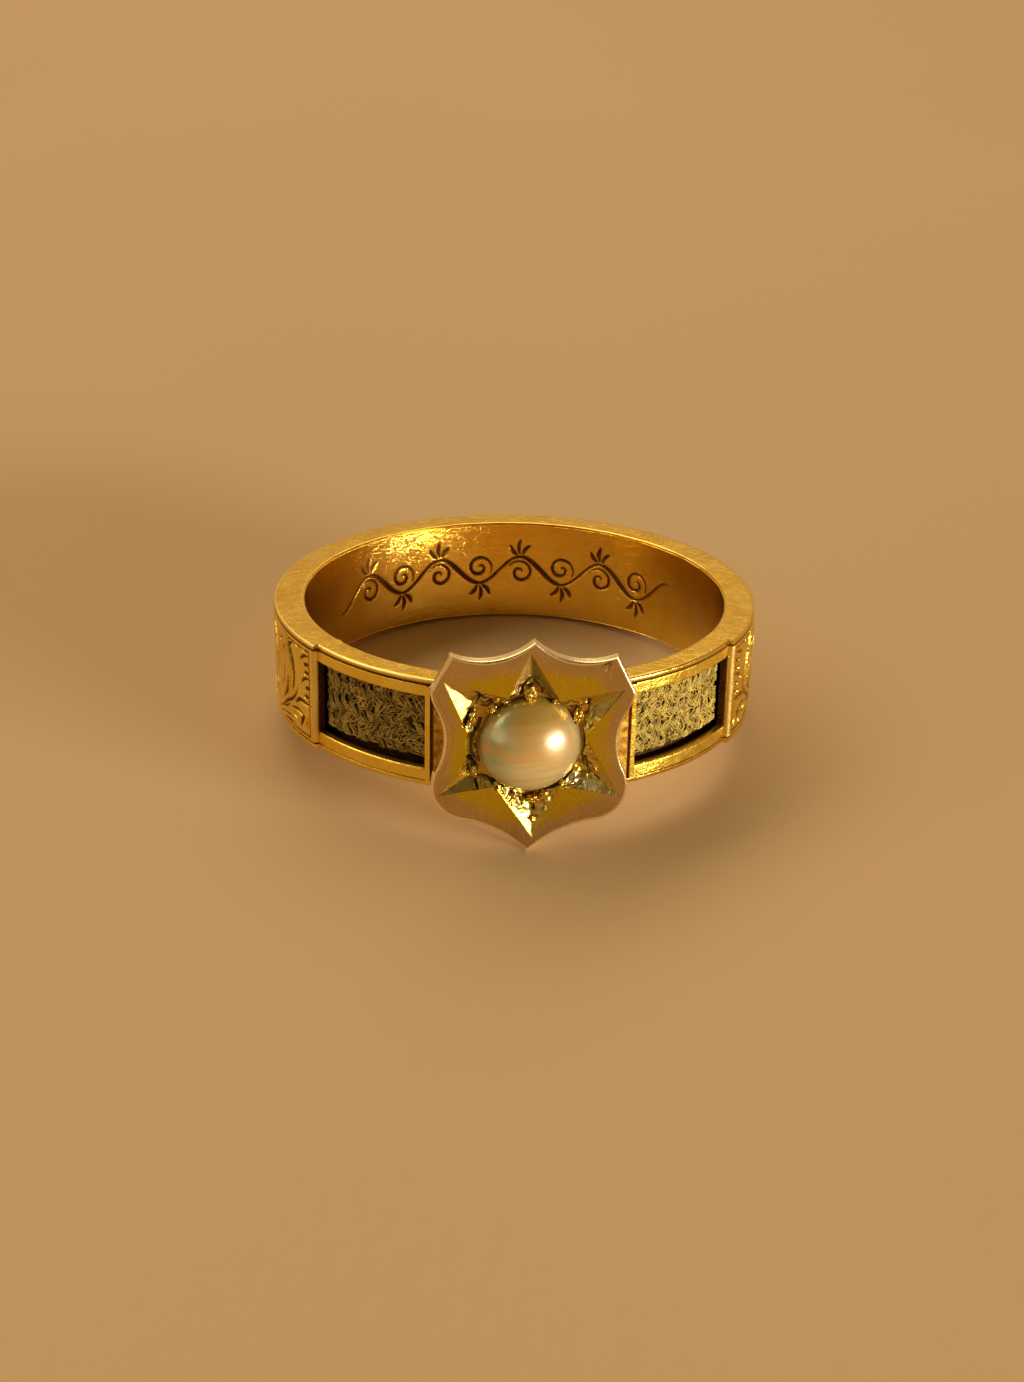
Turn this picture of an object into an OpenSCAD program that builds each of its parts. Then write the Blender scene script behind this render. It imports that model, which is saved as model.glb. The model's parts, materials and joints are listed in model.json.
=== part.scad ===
// Mourning ring: a gold sleeve with a channel of plaited hair behind two windows in a pierced cover band,
// and a shield bezel with a half pearl in a six-rayed star cut.
// Millimetres. The origin is the middle of the finger hole. The front, with the bezel, faces -Y.
// The ring lies on its side, so it leans on the bezel's lower tip and the back of the band.

/* [Finger hole] */
// Diameter of the finger hole
finger_d = 17.2; // [14:0.1:22]

/* [Band] */
// Width of the band, along the finger
band_w = 4.42; // [3.6:0.02:6]
// Thickness of the sleeve's wall
sleeve_t = 0.3; // [0.2:0.02:0.6]
// Depth of the hair channel between the sleeve and the cover
channel_d = 0.43; // [0.3:0.01:0.8]
// Thickness of the cover at the rails
cover_t = 0.31; // [0.2:0.01:0.6]
// Thickness of the rim at each edge of the sleeve
rim_t = 0.2; // [0.14:0.01:0.3]
// Hairline seam between the rims and the cover
seam = 0.03; // [0.02:0.01:0.06]
// Chamfer that breaks the band's edges
edge_break = 0.05; // [0.02:0.01:0.1]

/* [Windows] */
// Width of the rails above and below a window, from the band's edge
rail_w = 0.72; // [0.5:0.02:1]
// Angle from the front to a window's end beside the bezel
window_start = 24.4; // [22:0.2:32]
// Angle from the front to a window's end beside its panel
window_end = 56.7; // [46:0.1:75]
// Width of the upright bar beside the bezel
bar_w = 0.2; // [0.1:0.02:0.4]
// Height of the bars and the bridge above the rails
bar_raise = 0.08; // [0.05:0.01:0.2]
// Width of the groove that parts the bar from the bridge
bar_groove_w = 0.16; // [0.08:0.02:0.3]
// Depth of the groove that parts the bar from the bridge
bar_groove_d = 0.12; // [0.05:0.01:0.2]

/* [Panels] */
// Height of the panels and the back above the rails
panel_raise = 0.21; // [0.1:0.01:0.4]
// Width of the ridge at a panel's end
ridge_w = 0.14; // [0.08:0.02:0.3]
// Height of the ridge above the panel
ridge_raise = 0.05; // [0.02:0.01:0.15]
// Width of the border line round a panel
border_w = 0.1; // [0.06:0.01:0.2]
// Depth of the border line
border_d = 0.05; // [0.02:0.01:0.12]
// Distance of the border line from the ridge and from the cover's edge
border_inset = 0.12; // [0.06:0.02:0.3]
// Angle from the front to a panel's far end
panel_end = 126; // [100:1:150]

/* [Shield plate] */
// Width of the shield
shield_w = 7.64; // [6:0.02:9]
// Height of the shield above its middle
shield_up = 4.33; // [3.6:0.01:5.2]
// Height of the shield below its middle
shield_down = 4.22; // [3.5:0.01:5]
// Thickness of the shield plate
plate_t = 0.47; // [0.4:0.01:0.8]
// Height of the collet between the bridge and the plate
collet_h = 0.21; // [0.15:0.01:0.6]
// Size of the collet as a share of the shield
collet_share = 0.76; // [0.6:0.01:0.85]
// Turn of the bezel on the band, clockwise seen from the front, in degrees
head_turn = 1; // [-5:0.5:5]
// Shift of the bezel to the right, across the band
head_side = -0.11; // [-0.3:0.01:0.3]

/* [Star and pearl] */
// Width of the half pearl at its base, across the bezel
pearl_w = 3.86; // [3:0.02:4.2]
// Length of the half pearl at its base, along the finger
pearl_l = 3.68; // [2.8:0.02:4]
// Height of the half pearl from its base
pearl_h = 1.45; // [1:0.05:1.8]
// Shift of the pearl towards the upper tip
pearl_up = 0.2; // [-0.3:0.05:0.4]
// Depth of the pearl's pocket
pocket_depth = 0.33; // [0.2:0.01:0.5]
// Clearance round the pearl in its pocket
pocket_gap = 0.09; // [0.04:0.01:0.15]
// Depth of the star cuts beside the pearl
star_depth = 0.5; // [0.3:0.01:0.6]
// Radius of the grains that hold the pearl
grain_r = 0.25; // [0.15:0.01:0.32]
// Clearance between the pearl and the metal that holds it
seat_gap = 0.03; // [0.02:0.01:0.06]

/* [Hair plait] */
// Clearance between the plait and the channel's walls
plait_gap = 0.03; // [0.02:0.01:0.06]
// How far the plait's upper edge goes behind the upper rail
plait_tuck = 0.06; // [0:0.02:0.3]
// Gap that shows below the plait
plait_slack = 0.24; // [0:0.02:0.6]
// Gap between the plait's left end and the left window's end
plait_short_left = 0.06; // [0:0.02:1]
// Gap between the plait's right end and the right window's end
plait_short_right = 0.16; // [0:0.02:1]
// Rounding of the plait's long edges
plait_round = 0.12; // [0.05:0.01:0.14]

/* [Hidden] */
$fn = 96;

gold = [0.84, 0.63, 0.26];
pearl_white = [0.86, 0.80, 0.66];
hair_brown = [0.36, 0.30, 0.14];

arc_steps = 8;      // straight steps in each arc of the shield's outline
past = 1;           // how far a cutter reaches past what it cuts
sink = 0.2;         // how deep a joined piece reaches into its neighbour
stem_share = 0.8;   // a grain's stem and its height in the cut, as shares of its radius

// Radii of the band, from the finger outwards
finger_r = finger_d / 2;
channel_r = finger_r + sleeve_t;
cover_in_r = channel_r + channel_d;
rail_r = cover_in_r + cover_t;
bridge_r = rail_r + bar_raise;
panel_r = rail_r + panel_raise;
ridge_r = panel_r + ridge_raise;

// The finer chamfer on the cover's edges
soft_edge = edge_break / 2;

// Half heights along the finger
band_half = band_w / 2;
rim_half = band_half - rim_t;
cover_half = rim_half - seam;
window_half = band_half - rail_w;

// Distances of the plate's faces from the finger hole's axis
plate_back = bridge_r + collet_h;
plate_front = plate_back + plate_t;
pearl_base = plate_front - pocket_depth + seat_gap;

// Outline of the shield, clockwise from its upper tip to its lower tip:
// across as a share of the half width, along as a share of the height above or below the middle,
// and how far the arc to the next point bows outwards, as a share of the half width
ACROSS = 0;
ALONG = 1;
BOW = 2;
shield_table = [
    [0,     1,      -0.123],    // upper tip
    [0.81,  0.866,   0],        // upper corner
    [1,     0.536,   0.01],     // side point
    [0.942, 0.381,  -0.086],    // above the waist
    [0.935, -0.225,  0.124],    // below the waist
    [0.712, -0.687, -0.06],     // end of the lobe
    [0,     -1,      0],        // lower tip
];

// Tips of the star's six rays, clockwise from the top, in the same shares
star_table = [
    [-0.04,   0.916],
    [0.896,   0.567],
    [0.9,    -0.458],
    [0.052,  -0.886],
    [-0.903, -0.456],
    [-0.873,  0.633],
];

// The lean at rest: on the plate's lower tip and on the band's lower edge at the back
tip_drop = shield_down * cos(head_turn);
back_reach = panel_r - edge_break;
rest_tilt = max(0, atan((tip_drop - band_half) / (plate_back + back_reach)));

function arc_deg(length, r) = length / r * 180 / PI;
function place(row) = [row[ACROSS] * shield_w / 2, row[ALONG] * (row[ALONG] < 0 ? shield_down : shield_up)];

// Points from p up to q, without q, on an arc that bows to the left of the way from p to q
function bowed(p, q, bow, steps = arc_steps) =
    bow == 0 ? [p] :
    let (chord = norm(q - p),
         r = (chord * chord / 4 + bow * bow) / (2 * abs(bow)),
         side = bow > 0 ? 1 : -1,
         along = (q - p) / chord,
         left = [-along.y, along.x],
         middle = (p + q) / 2 + left * (bow - side * r),
         half_angle = asin(chord / (2 * r)))
    [for (i = [0:steps - 1])
        let (a = -half_angle + 2 * half_angle * i / steps)
        middle + r * (along * sin(a) + left * side * cos(a))];

shield_right = [for (i = [0:len(shield_table) - 2])
    each bowed(place(shield_table[i]), place(shield_table[i + 1]), shield_table[i][BOW] * shield_w / 2)];
shield_left = [for (i = [len(shield_right) - 1:-1:1]) [-shield_right[i].x, shield_right[i].y]];
shield_outline = concat(shield_right, [[0, -shield_down]], shield_left);

// The star, in the plate's plane: its leaves come to points between the rays, just outside the pocket
pearl_mid = [0, pearl_up];
pocket_r = pearl_w / 2 + pocket_gap;
leaf_r = pocket_r + pocket_gap;
ray_tips = [for (row = star_table) place(row)];
ray_count = len(ray_tips);
function heading(p) = atan2(p.y - pearl_mid.y, p.x - pearl_mid.x);
function polar(r, a) = pearl_mid + r * [cos(a), sin(a)];
function between(a, b) = a + ((b - a + 540) % 360 - 180) / 2;
leaf_points = [for (i = [0:ray_count - 1])
    polar(leaf_r, between(heading(ray_tips[i]), heading(ray_tips[(i + 1) % ray_count])))];
function pearl_reach(a) = 1 / norm([cos(a) / (pearl_w / 2), sin(a) / (pearl_l / 2)]);

// Turns the band from angle a to angle b, counted from the front towards +X
module band_arc(a, b) {
    rotate([0, 0, a - 90]) rotate_extrude(angle = b - a) children();
}

// Section of a ring from r_in to r_out, with its outer edges broken by b
module ring_section(r_in, r_out, half, b = 0) {
    polygon([[r_in, -half], [r_out - b, -half], [r_out, b - half],
             [r_out, half - b], [r_out - b, half], [r_in, half]]);
}

// Section that trims a ring down to radius r and breaks its new edges by b
module trim_section(r, half, b = 0) {
    polygon([[r - b, half + past], [r - b, half], [r, half - b], [r, b - half], [r - b, -half],
             [r - b, -half - past], [ridge_r + past, -half - past], [ridge_r + past, half + past]]);
}

// Places a shape drawn in the plate's plane, with its third axis pointing out of the front
module on_head(out = 0) {
    translate([head_side, 0, 0]) rotate([0, head_turn, 0]) rotate([90, 0, 0]) translate([0, 0, out]) children();
}

module at_rest() {
    rotate([-rest_tilt, 0, 0]) children();
}

module sleeve_body() {
    difference() {
        rotate_extrude() ring_section(finger_r, panel_r, band_half, edge_break);
        band_arc(-window_end, window_end) trim_section(rail_r, band_half, edge_break);
        rotate_extrude() translate([channel_r, -rim_half]) square([panel_r - channel_r + past, 2 * rim_half]);
        for (side = [-1, 1]) scale([1, 1, side]) bore_edge();
    }
}

// The broken edge at one end of the finger hole
module bore_edge() {
    rotate_extrude() polygon([[finger_r - past, band_half - edge_break], [finger_r, band_half - edge_break],
                              [finger_r + edge_break, band_half], [finger_r + edge_break, band_half + past],
                              [finger_r - past, band_half + past]]);
}

module sleeve() {
    color(gold) at_rest() sleeve_body();
}

// One side's window, with its rails and the groove beside its upright bar, from the front towards +X
module window_cut() {
    band_arc(window_start, window_end)
        translate([cover_in_r - past, -window_half]) square([cover_t + 3 * past, 2 * window_half]);
    band_arc(window_start, window_end) trim_section(rail_r, cover_half, soft_edge);
    groove_a = window_start - arc_deg(bar_w, bridge_r);
    band_arc(groove_a - arc_deg(bar_groove_w, bridge_r), groove_a)
        trim_section(bridge_r - bar_groove_d, cover_half);
}

// One side's panel between its two ridges, with the border line that runs round it
module panel_cut() {
    ridge_a = arc_deg(ridge_w, panel_r);
    from = window_end + ridge_a;
    to = panel_end - ridge_a;
    inset_a = arc_deg(border_inset, panel_r);
    line_a = arc_deg(border_w, panel_r);
    line_half = cover_half - border_inset;
    floor_r = panel_r - border_d;
    band_arc(from, to) trim_section(panel_r, cover_half, soft_edge);
    for (a = [from + inset_a, to - inset_a - line_a])
        band_arc(a, a + line_a) translate([floor_r, -line_half]) square([past, 2 * line_half]);
    for (z = [-line_half, line_half - border_w])
        band_arc(from + inset_a, to - inset_a) translate([floor_r, z]) square([past, border_w]);
}

module cover_strip() {
    difference() {
        rotate_extrude() ring_section(cover_in_r, ridge_r, cover_half, soft_edge);
        band_arc(-window_start, window_start) trim_section(bridge_r, cover_half, soft_edge);
        band_arc(panel_end, 360 - panel_end) trim_section(panel_r, cover_half, soft_edge);
        for (side = [0, 1]) mirror([side, 0, 0]) {
            window_cut();
            panel_cut();
        }
    }
}

// The collet stands on the bridge and clears the rims above and below it
module collet() {
    difference() {
        on_head() linear_extrude(plate_back + plate_t / 2) scale(collet_share) polygon(shield_outline);
        cylinder(r = rail_r + seam, h = 2 * (shield_up + shield_down), center = true);
    }
}

// One ray of the star: a V cut that starts at the tip and is deepest beside the pearl
module star_cut(i) {
    a = leaf_points[(i + ray_count - 1) % ray_count];
    b = leaf_points[i];
    deep = [(a.x + b.x) / 2, (a.y + b.y) / 2, plate_front - star_depth];
    grow = (star_depth + sink) / star_depth;
    corners = [for (p = [ray_tips[i], b, a]) deep + grow * ([p.x, p.y, plate_front] - deep)];
    polyhedron([deep, corners[0], corners[1], corners[2]], [[1, 2, 3], [0, 2, 1], [0, 3, 2], [0, 1, 3]]);
}

// A round grain on a short stem, raised beside the pearl in a ray of the star
module grain(i) {
    a = heading(ray_tips[i]);
    at = polar(pearl_reach(a) + seat_gap + grain_r, a);
    translate([at.x, at.y, plate_front - stem_share * grain_r]) {
        sphere(r = grain_r);
        translate([0, 0, -star_depth]) cylinder(r = stem_share * grain_r, h = star_depth);
    }
}

module shield_plate() {
    difference() {
        union() {
            on_head(plate_back) linear_extrude(plate_t) polygon(shield_outline);
            collet();
        }
        on_head() {
            translate([pearl_mid.x, pearl_mid.y, plate_front - pocket_depth])
                cylinder(r = pocket_r, h = pocket_depth + past);
            for (i = [0:ray_count - 1]) star_cut(i);
        }
    }
    on_head() for (i = [0:ray_count - 1]) grain(i);
}

module cover_band() {
    color(gold) at_rest() union() {
        cover_strip();
        shield_plate();
    }
}

module half_pearl() {
    color(pearl_white) at_rest() on_head() translate([pearl_mid.x, pearl_mid.y, pearl_base])
        intersection() {
            scale([pearl_w / 2, pearl_l / 2, pearl_h]) sphere(r = 1);
            translate([0, 0, pearl_h]) cube([pearl_w + past, pearl_l + past, 2 * pearl_h], center = true);
        }
}

module hair_plait() {
    low = plait_slack - window_half;
    high = window_half + plait_tuck;
    in_r = channel_r + plait_gap;
    out_r = cover_in_r - plait_gap;
    from = -window_end + arc_deg(plait_short_left, out_r);
    to = window_end - arc_deg(plait_short_right, out_r);
    b = plait_round;
    color(hair_brown) at_rest() band_arc(from, to)
        polygon([[in_r, low], [out_r - b, low], [out_r, low + b], [out_r, high - b], [out_r - b, high], [in_r, high]]);
}

sleeve();
cover_band();
half_pearl();
hair_plait();
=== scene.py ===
"""Looks of the mourning ring: engraved gold, a half pearl in a star cut, and plaited hair behind two windows.

Shapes are worked out in millimetres in the ring's own frame, with the finger hole along Z and the bezel
facing -Y. Each mesh is then turned to how the ring lies, and scaled to metres.
"""
import json
import math

import bpy
import numpy as np
from mathutils import Matrix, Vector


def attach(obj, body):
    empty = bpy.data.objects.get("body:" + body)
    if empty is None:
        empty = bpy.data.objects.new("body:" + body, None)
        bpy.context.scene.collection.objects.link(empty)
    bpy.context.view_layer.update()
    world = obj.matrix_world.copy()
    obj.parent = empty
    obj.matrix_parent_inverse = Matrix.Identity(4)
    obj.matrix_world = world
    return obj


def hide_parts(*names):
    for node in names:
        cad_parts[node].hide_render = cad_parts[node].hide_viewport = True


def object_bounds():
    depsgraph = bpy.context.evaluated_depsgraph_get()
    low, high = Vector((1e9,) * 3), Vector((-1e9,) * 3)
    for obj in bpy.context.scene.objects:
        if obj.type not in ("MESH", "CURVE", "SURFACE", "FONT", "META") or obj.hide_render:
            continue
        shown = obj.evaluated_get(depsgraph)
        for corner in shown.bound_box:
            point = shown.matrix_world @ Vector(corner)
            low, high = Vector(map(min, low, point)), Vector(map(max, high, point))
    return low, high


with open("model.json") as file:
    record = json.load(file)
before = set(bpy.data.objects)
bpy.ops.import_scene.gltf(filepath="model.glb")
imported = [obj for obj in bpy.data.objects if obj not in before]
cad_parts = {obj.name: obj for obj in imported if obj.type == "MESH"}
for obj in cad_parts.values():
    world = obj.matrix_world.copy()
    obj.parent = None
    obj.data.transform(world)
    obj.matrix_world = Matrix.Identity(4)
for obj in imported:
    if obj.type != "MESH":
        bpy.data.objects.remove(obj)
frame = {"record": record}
CAD_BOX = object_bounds()

MM = 0.001
BORE = frame["record"]["mounts"][0]
REST_TILT = math.atan2(BORE["axis"][1], BORE["axis"][2])

# Band, in millimetres
FINGER_R = BORE["dims"]["r_mm"]
BAND_W = 4.42
SLEEVE_T = 0.3
CHANNEL_D = 0.43
COVER_T = 0.31
RIM_T = 0.2
SEAM = 0.03
EDGE = 0.05
RAIL_W = 0.72
WINDOW_START = 24.4
WINDOW_END = 56.7
BAR_W = 0.2
BAR_RAISE = 0.08
BAR_GROOVE_W = 0.16
BAR_GROOVE_D = 0.12
PANEL_RAISE = 0.21
RIDGE_W = 0.14
RIDGE_RAISE = 0.05
BORDER_W = 0.1
BORDER_D = 0.05
BORDER_INSET = 0.12
PANEL_END = 126

CHANNEL_R = FINGER_R + SLEEVE_T
COVER_IN_R = CHANNEL_R + CHANNEL_D
RAIL_R = COVER_IN_R + COVER_T
BRIDGE_R = RAIL_R + BAR_RAISE
PANEL_R = RAIL_R + PANEL_RAISE
BAND_HALF = BAND_W / 2
RIM_HALF = BAND_HALF - RIM_T
COVER_HALF = RIM_HALF - SEAM
WINDOW_HALF = BAND_HALF - RAIL_W

# Bezel, in millimetres
SHIELD_W = 7.64
SHIELD_UP = 4.33
SHIELD_DOWN = 4.22
PLATE_T = 0.47
COLLET_H = 0.21
COLLET_SHARE = 0.76
HEAD_TURN = math.radians(1)
HEAD_SIDE = -0.11
PLATE_BACK = BRIDGE_R + COLLET_H
PLATE_FRONT = PLATE_BACK + PLATE_T
PEARL_W = 3.86
PEARL_L = 3.68
PEARL_H = 1.45
PEARL_MID = np.array([0, 0.2])
PEARL_LEAN = np.array([0.22, 0.20])
POCKET_DEPTH = 0.33
SEAT_GAP = 0.03
POCKET_R = PEARL_W / 2 + 0.09
STAR_DEPTH = 0.5
PLATE_BEVEL = 0.09
PEARL_BASE = PLATE_FRONT - POCKET_DEPTH + SEAT_GAP

# Outline of the shield's right half from its upper tip to its lower tip: across and along as shares of the
# half width and of the height above or below the middle, and the bow of the arc to the next point
SHIELD_TABLE = [
    (0, 1, -0.123),
    (0.81, 0.866, 0),
    (1, 0.536, 0.01),
    (0.942, 0.381, -0.086),
    (0.935, -0.225, 0.124),
    (0.712, -0.687, -0.06),
    (0, -1, 0),
]

# Rays of the star, clockwise from the top: the tip's place in the same shares, and the corner on its
# counter-clockwise and on its clockwise side, each as a heading and a distance from the pearl's middle
RAYS = [
    {"tip": (-0.04, 0.916), "left": (115.9, 2.09), "right": (60.7, 2.06)},
    {"tip": (0.896, 0.567), "left": (60.7, 2.06), "right": (8.4, 2.06)},
    {"tip": (0.9, -0.458), "left": (8.4, 2.06), "right": (-56.1, 2.07)},
    {"tip": (0.052, -0.886), "left": (-56.1, 2.07), "right": (-126.9, 2.16)},
    {"tip": (-0.903, -0.456), "left": (-126.9, 2.16), "right": (-166.2, 2.46)},
    {"tip": (-0.873, 0.633), "left": (171.5, 2.36), "right": (115.9, 2.09)},
]

# Slips of the graver beside the pearl: points of the line in the plate's plane, half width and depth
GOUGES = [
    ([(-1.97, 2.16), (-2.26, 1.60), (-2.50, 1.02)], 0.11, 0.30),
    ([(-2.08, 2.30), (-1.77, 2.02)], 0.08, 0.20),
    ([(-1.96, 1.55), (-2.09, 0.77)], 0.10, 0.35),
    ([(-0.46, 2.22), (-0.34, 2.55), (-0.10, 2.84), (0.18, 2.61), (0.30, 2.22)], 0.07, 0.22),
    ([(2.09, 2.01), (2.07, 1.45)], 0.09, 0.25),
    ([(1.62, 1.70), (1.51, 1.34)], 0.10, 0.25),
    ([(2.08, -0.35), (2.24, -0.98), (2.65, -1.29)], 0.06, 0.20),
    ([(0.00, -1.80), (0.18, -2.53)], 0.12, 0.30),
    ([(0.41, -1.78), (0.17, -2.24)], 0.10, 0.30),
    ([(-2.30, -0.66), (-1.97, -1.58)], 0.10, 0.30),
    ([(-2.31, -0.30), (-1.73, -0.92), (-1.25, -1.55)], 0.12, 0.30),
    ([(1.23, -1.55), (2.00, -1.44)], 0.06, 0.12),
    ([(-0.72, -1.78), (-0.30, -2.18)], 0.07, 0.15),
    ([(-2.02, 0.86), (-2.25, 0.44), (-2.22, -0.13), (-2.06, -0.40)], 0.22, 0.13),
]

# Beads of gold left standing beside the pearl: place across and along, radii across, along and out
BEADS = [
    (-0.08, 2.26, 0.24, 0.33, 0.25),
    (1.75, 1.31, 0.17, 0.27, 0.24),
    (1.79, -0.72, 0.18, 0.22, 0.22),
    (0.12, -2.06, 0.26, 0.15, 0.22),
    (0.19, -2.92, 0.11, 0.13, 0.12),
    (-2.08, -0.92, 0.13, 0.24, 0.18),
    (-1.50, 1.60, 0.19, 0.16, 0.20),
    (-2.22, 1.24, 0.13, 0.27, 0.20),
    (0.86, 1.93, 0.14, 0.10, 0.14),
    (-0.98, 1.92, 0.12, 0.09, 0.12),
    (-1.22, -1.46, 0.12, 0.09, 0.12),
    (1.28, -1.42, 0.16, 0.10, 0.12),
    (2.32, -1.02, 0.10, 0.08, 0.08),
    (-0.55, -1.90, 0.15, 0.08, 0.10),
    (0.62, -1.86, 0.12, 0.08, 0.10),
]

# Camera, fitted to the band's edges in the photograph: angles in degrees and distances in millimetres
CAMERA_TURN = -4.6
CAMERA_RISE = 23.85
CAMERA_ROLL = 1.11
CAMERA_FAR = 90.5
CAMERA_ASIDE = -0.067
CAMERA_LOWER = -2.014
FOCAL_PIXELS = 2175
PICTURE_HIGH = 1382


def noise(points, size, seed, waves=14):
    """Smooth noise from -1 to 1 at points (N, 3), with features of about the given size in millimetres."""
    rng = np.random.default_rng(seed)
    heading = rng.normal(size=(waves, 3))
    heading /= np.linalg.norm(heading, axis=1)[:, None]
    pitch = rng.uniform(0.6, 1.5, waves) / size
    phase = rng.uniform(0, 2 * np.pi, waves)
    total = np.zeros(points.shape[:-1])
    for h, k, p in zip(heading, pitch, phase):
        total += np.sin(2 * np.pi * k * (points @ h) + p)
    return total / math.sqrt(waves)


def smooth_step(x):
    x = np.clip(x, 0, 1)
    return x * x * (3 - 2 * x)


def arc_deg(length, r):
    return math.degrees(length / r)


def ring_points(angle, r, z):
    """Points of the band: angle in degrees from the front towards +X, radius and height."""
    a = np.radians(angle)
    angle, r, z = np.broadcast_arrays(a, r, z)
    return np.stack([r * np.sin(angle), -r * np.cos(angle), z], -1)


def head_points(u, v, w):
    """Points of the bezel: across, along and out from the finger hole's axis, with the bezel's small turn."""
    u, v, w = np.broadcast_arrays(u, v, w)
    c, s = math.cos(HEAD_TURN), math.sin(HEAD_TURN)
    return np.stack([u * c + v * s + HEAD_SIDE, -w, -u * s + v * c], -1)


def at_rest(points):
    """Turns points to how the ring lies, and gives them in metres."""
    c, s = math.cos(REST_TILT), math.sin(REST_TILT)
    x, y, z = points[:, 0], points[:, 1], points[:, 2]
    return np.stack([x, y * c + z * s, -y * s + z * c], -1) * MM


def add_piece(name, mesh, material, node, crease=35):
    """Adds a piece that rides on the ring. The mesh is its points in millimetres, its faces, and its shades
    by name, each with a value for every point."""
    points, faces, shades = mesh
    data = bpy.data.meshes.new(name)
    data.from_pydata(at_rest(points).tolist(), [], faces)
    data.update()
    place = data.attributes.new("ring_mm", "FLOAT_VECTOR", "POINT")
    place.data.foreach_set("vector", points.astype(np.float32).ravel())
    for key, values in shades.items():
        layer = data.attributes.new(key, "FLOAT", "POINT")
        layer.data.foreach_set("value", np.asarray(values, np.float32).ravel())
    data.shade_smooth()
    data.set_sharp_from_angle(angle=math.radians(crease))
    data.materials.append(material)
    piece = bpy.data.objects.new(name, data)
    bpy.context.scene.collection.objects.link(piece)
    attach(piece, "root")
    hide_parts(node)


def quads(loops, width, loops_close=True, width_closes=True, start=0, flip=False):
    """Faces between neighbouring points of `loops` loops of `width` points, numbered loop by loop from
    `start`. flip turns them to face the other way."""
    i = np.arange(loops if loops_close else loops - 1)[:, None]
    j = np.arange(width if width_closes else width - 1)[None, :]
    next_i, next_j = (i + 1) % loops, (j + 1) % width
    corners = [i * width + j, i * width + next_j, next_i * width + next_j, next_i * width + j]
    if flip:
        corners = corners[:1] + corners[:0:-1]
    return (np.stack(corners, -1).reshape(-1, 4) + start).tolist()


def dome_points(phi, columns):
    """Directions round a top point: the top itself, then a row that runs round at each angle phi from it."""
    theta = np.linspace(0, 2 * np.pi, columns, endpoint=False)
    across, along = np.sin(phi)[:, None] * np.cos(theta), np.sin(phi)[:, None] * np.sin(theta)
    rows = np.stack([across, along, np.cos(phi)[:, None] + 0 * theta], -1)
    return np.vstack([[0, 0, 1], rows.reshape(-1, 3)])


def dome_faces(rows, columns):
    """Faces of such points: a fan round the top, then quads from row to row."""
    fan = [[0, 1 + i, 1 + (i + 1) % columns] for i in range(columns)]
    return fan + quads(rows, columns, loops_close=False, start=1, flip=True)


def rounded(corners, steps=4):
    """Points of a closed section. A corner is (r, z, radius), and its radius rounds it."""
    points = []
    count = len(corners)
    for i, (r, z, radius) in enumerate(corners):
        here = np.array([r, z])
        if radius == 0:
            points.append(here)
            continue
        before = np.array(corners[i - 1][:2]) - here
        after = np.array(corners[(i + 1) % count][:2]) - here
        start = here + before / np.linalg.norm(before) * radius
        end = here + after / np.linalg.norm(after) * radius
        for t in np.linspace(0, 1, steps + 1):
            points.append((1 - t) ** 2 * start + 2 * t * (1 - t) * here + t ** 2 * end)
    return np.array(points)


def stamp(depth, across, along, stroke, side=0.0):
    """Cuts one stroke into a depth field: stroke rows are (across, along, half width, depth)."""
    for (s0, z0, h0, d0), (s1, z1, h1, d1) in zip(stroke[:-1], stroke[1:]):
        reach = max(h0, h1)
        i0, i1 = np.searchsorted(across, [min(s0, s1) - reach, max(s0, s1) + reach])
        j0, j1 = np.searchsorted(along, [min(z0, z1) - reach, max(z0, z1) + reach])
        if i0 == i1 or j0 == j1:
            continue
        ds, dz = s1 - s0, z1 - z0
        span = ds * ds + dz * dz + 1e-12
        gs = across[i0:i1, None] - s0
        gz = along[None, j0:j1] - z0
        t = np.clip((gs * ds + gz * dz) / span, 0, 1)
        off = np.hypot(gs - t * ds, gz - t * dz)
        half = h0 + (h1 - h0) * t + 1e-6
        deep = d0 + (d1 - d0) * t
        cut = deep * np.clip(1 - (off / half) ** 2, 0, 1)
        depth[i0:i1, j0:j1] = np.maximum(depth[i0:i1, j0:j1], cut)


def curve(points, steps=22):
    """A smooth line through given points, each (across, along)."""
    p = np.array(points, float)
    p = np.vstack([2 * p[0] - p[1], p, 2 * p[-1] - p[-2]])
    out = []
    for i in range(1, len(p) - 2):
        for t in np.linspace(0, 1, steps, endpoint=False):
            a = 2 * p[i]
            b = p[i + 1] - p[i - 1]
            c = 2 * p[i - 1] - 5 * p[i] + 4 * p[i + 1] - p[i + 2]
            d = -p[i - 1] + 3 * p[i] - 3 * p[i + 1] + p[i + 2]
            out.append(0.5 * (a + b * t + c * t * t + d * t ** 3))
    out.append(p[-2])
    return np.array(out)


def swelling(points, half, deep, peak=0.4, steps=22):
    """A stroke of the graver along a curve: thin at both ends, and widest at `peak` of its length."""
    line = curve(points, steps)
    t = np.linspace(0, 1, len(line))
    swell = np.where(t < peak, np.sin(t / peak * np.pi / 2), np.cos((t - peak) / (1 - peak) * np.pi / 2))
    swell = np.clip(swell, 0, 1) ** 0.7
    return np.column_stack([line, half * (0.25 + 0.75 * swell), deep * (0.15 + 0.85 * swell)])


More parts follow.
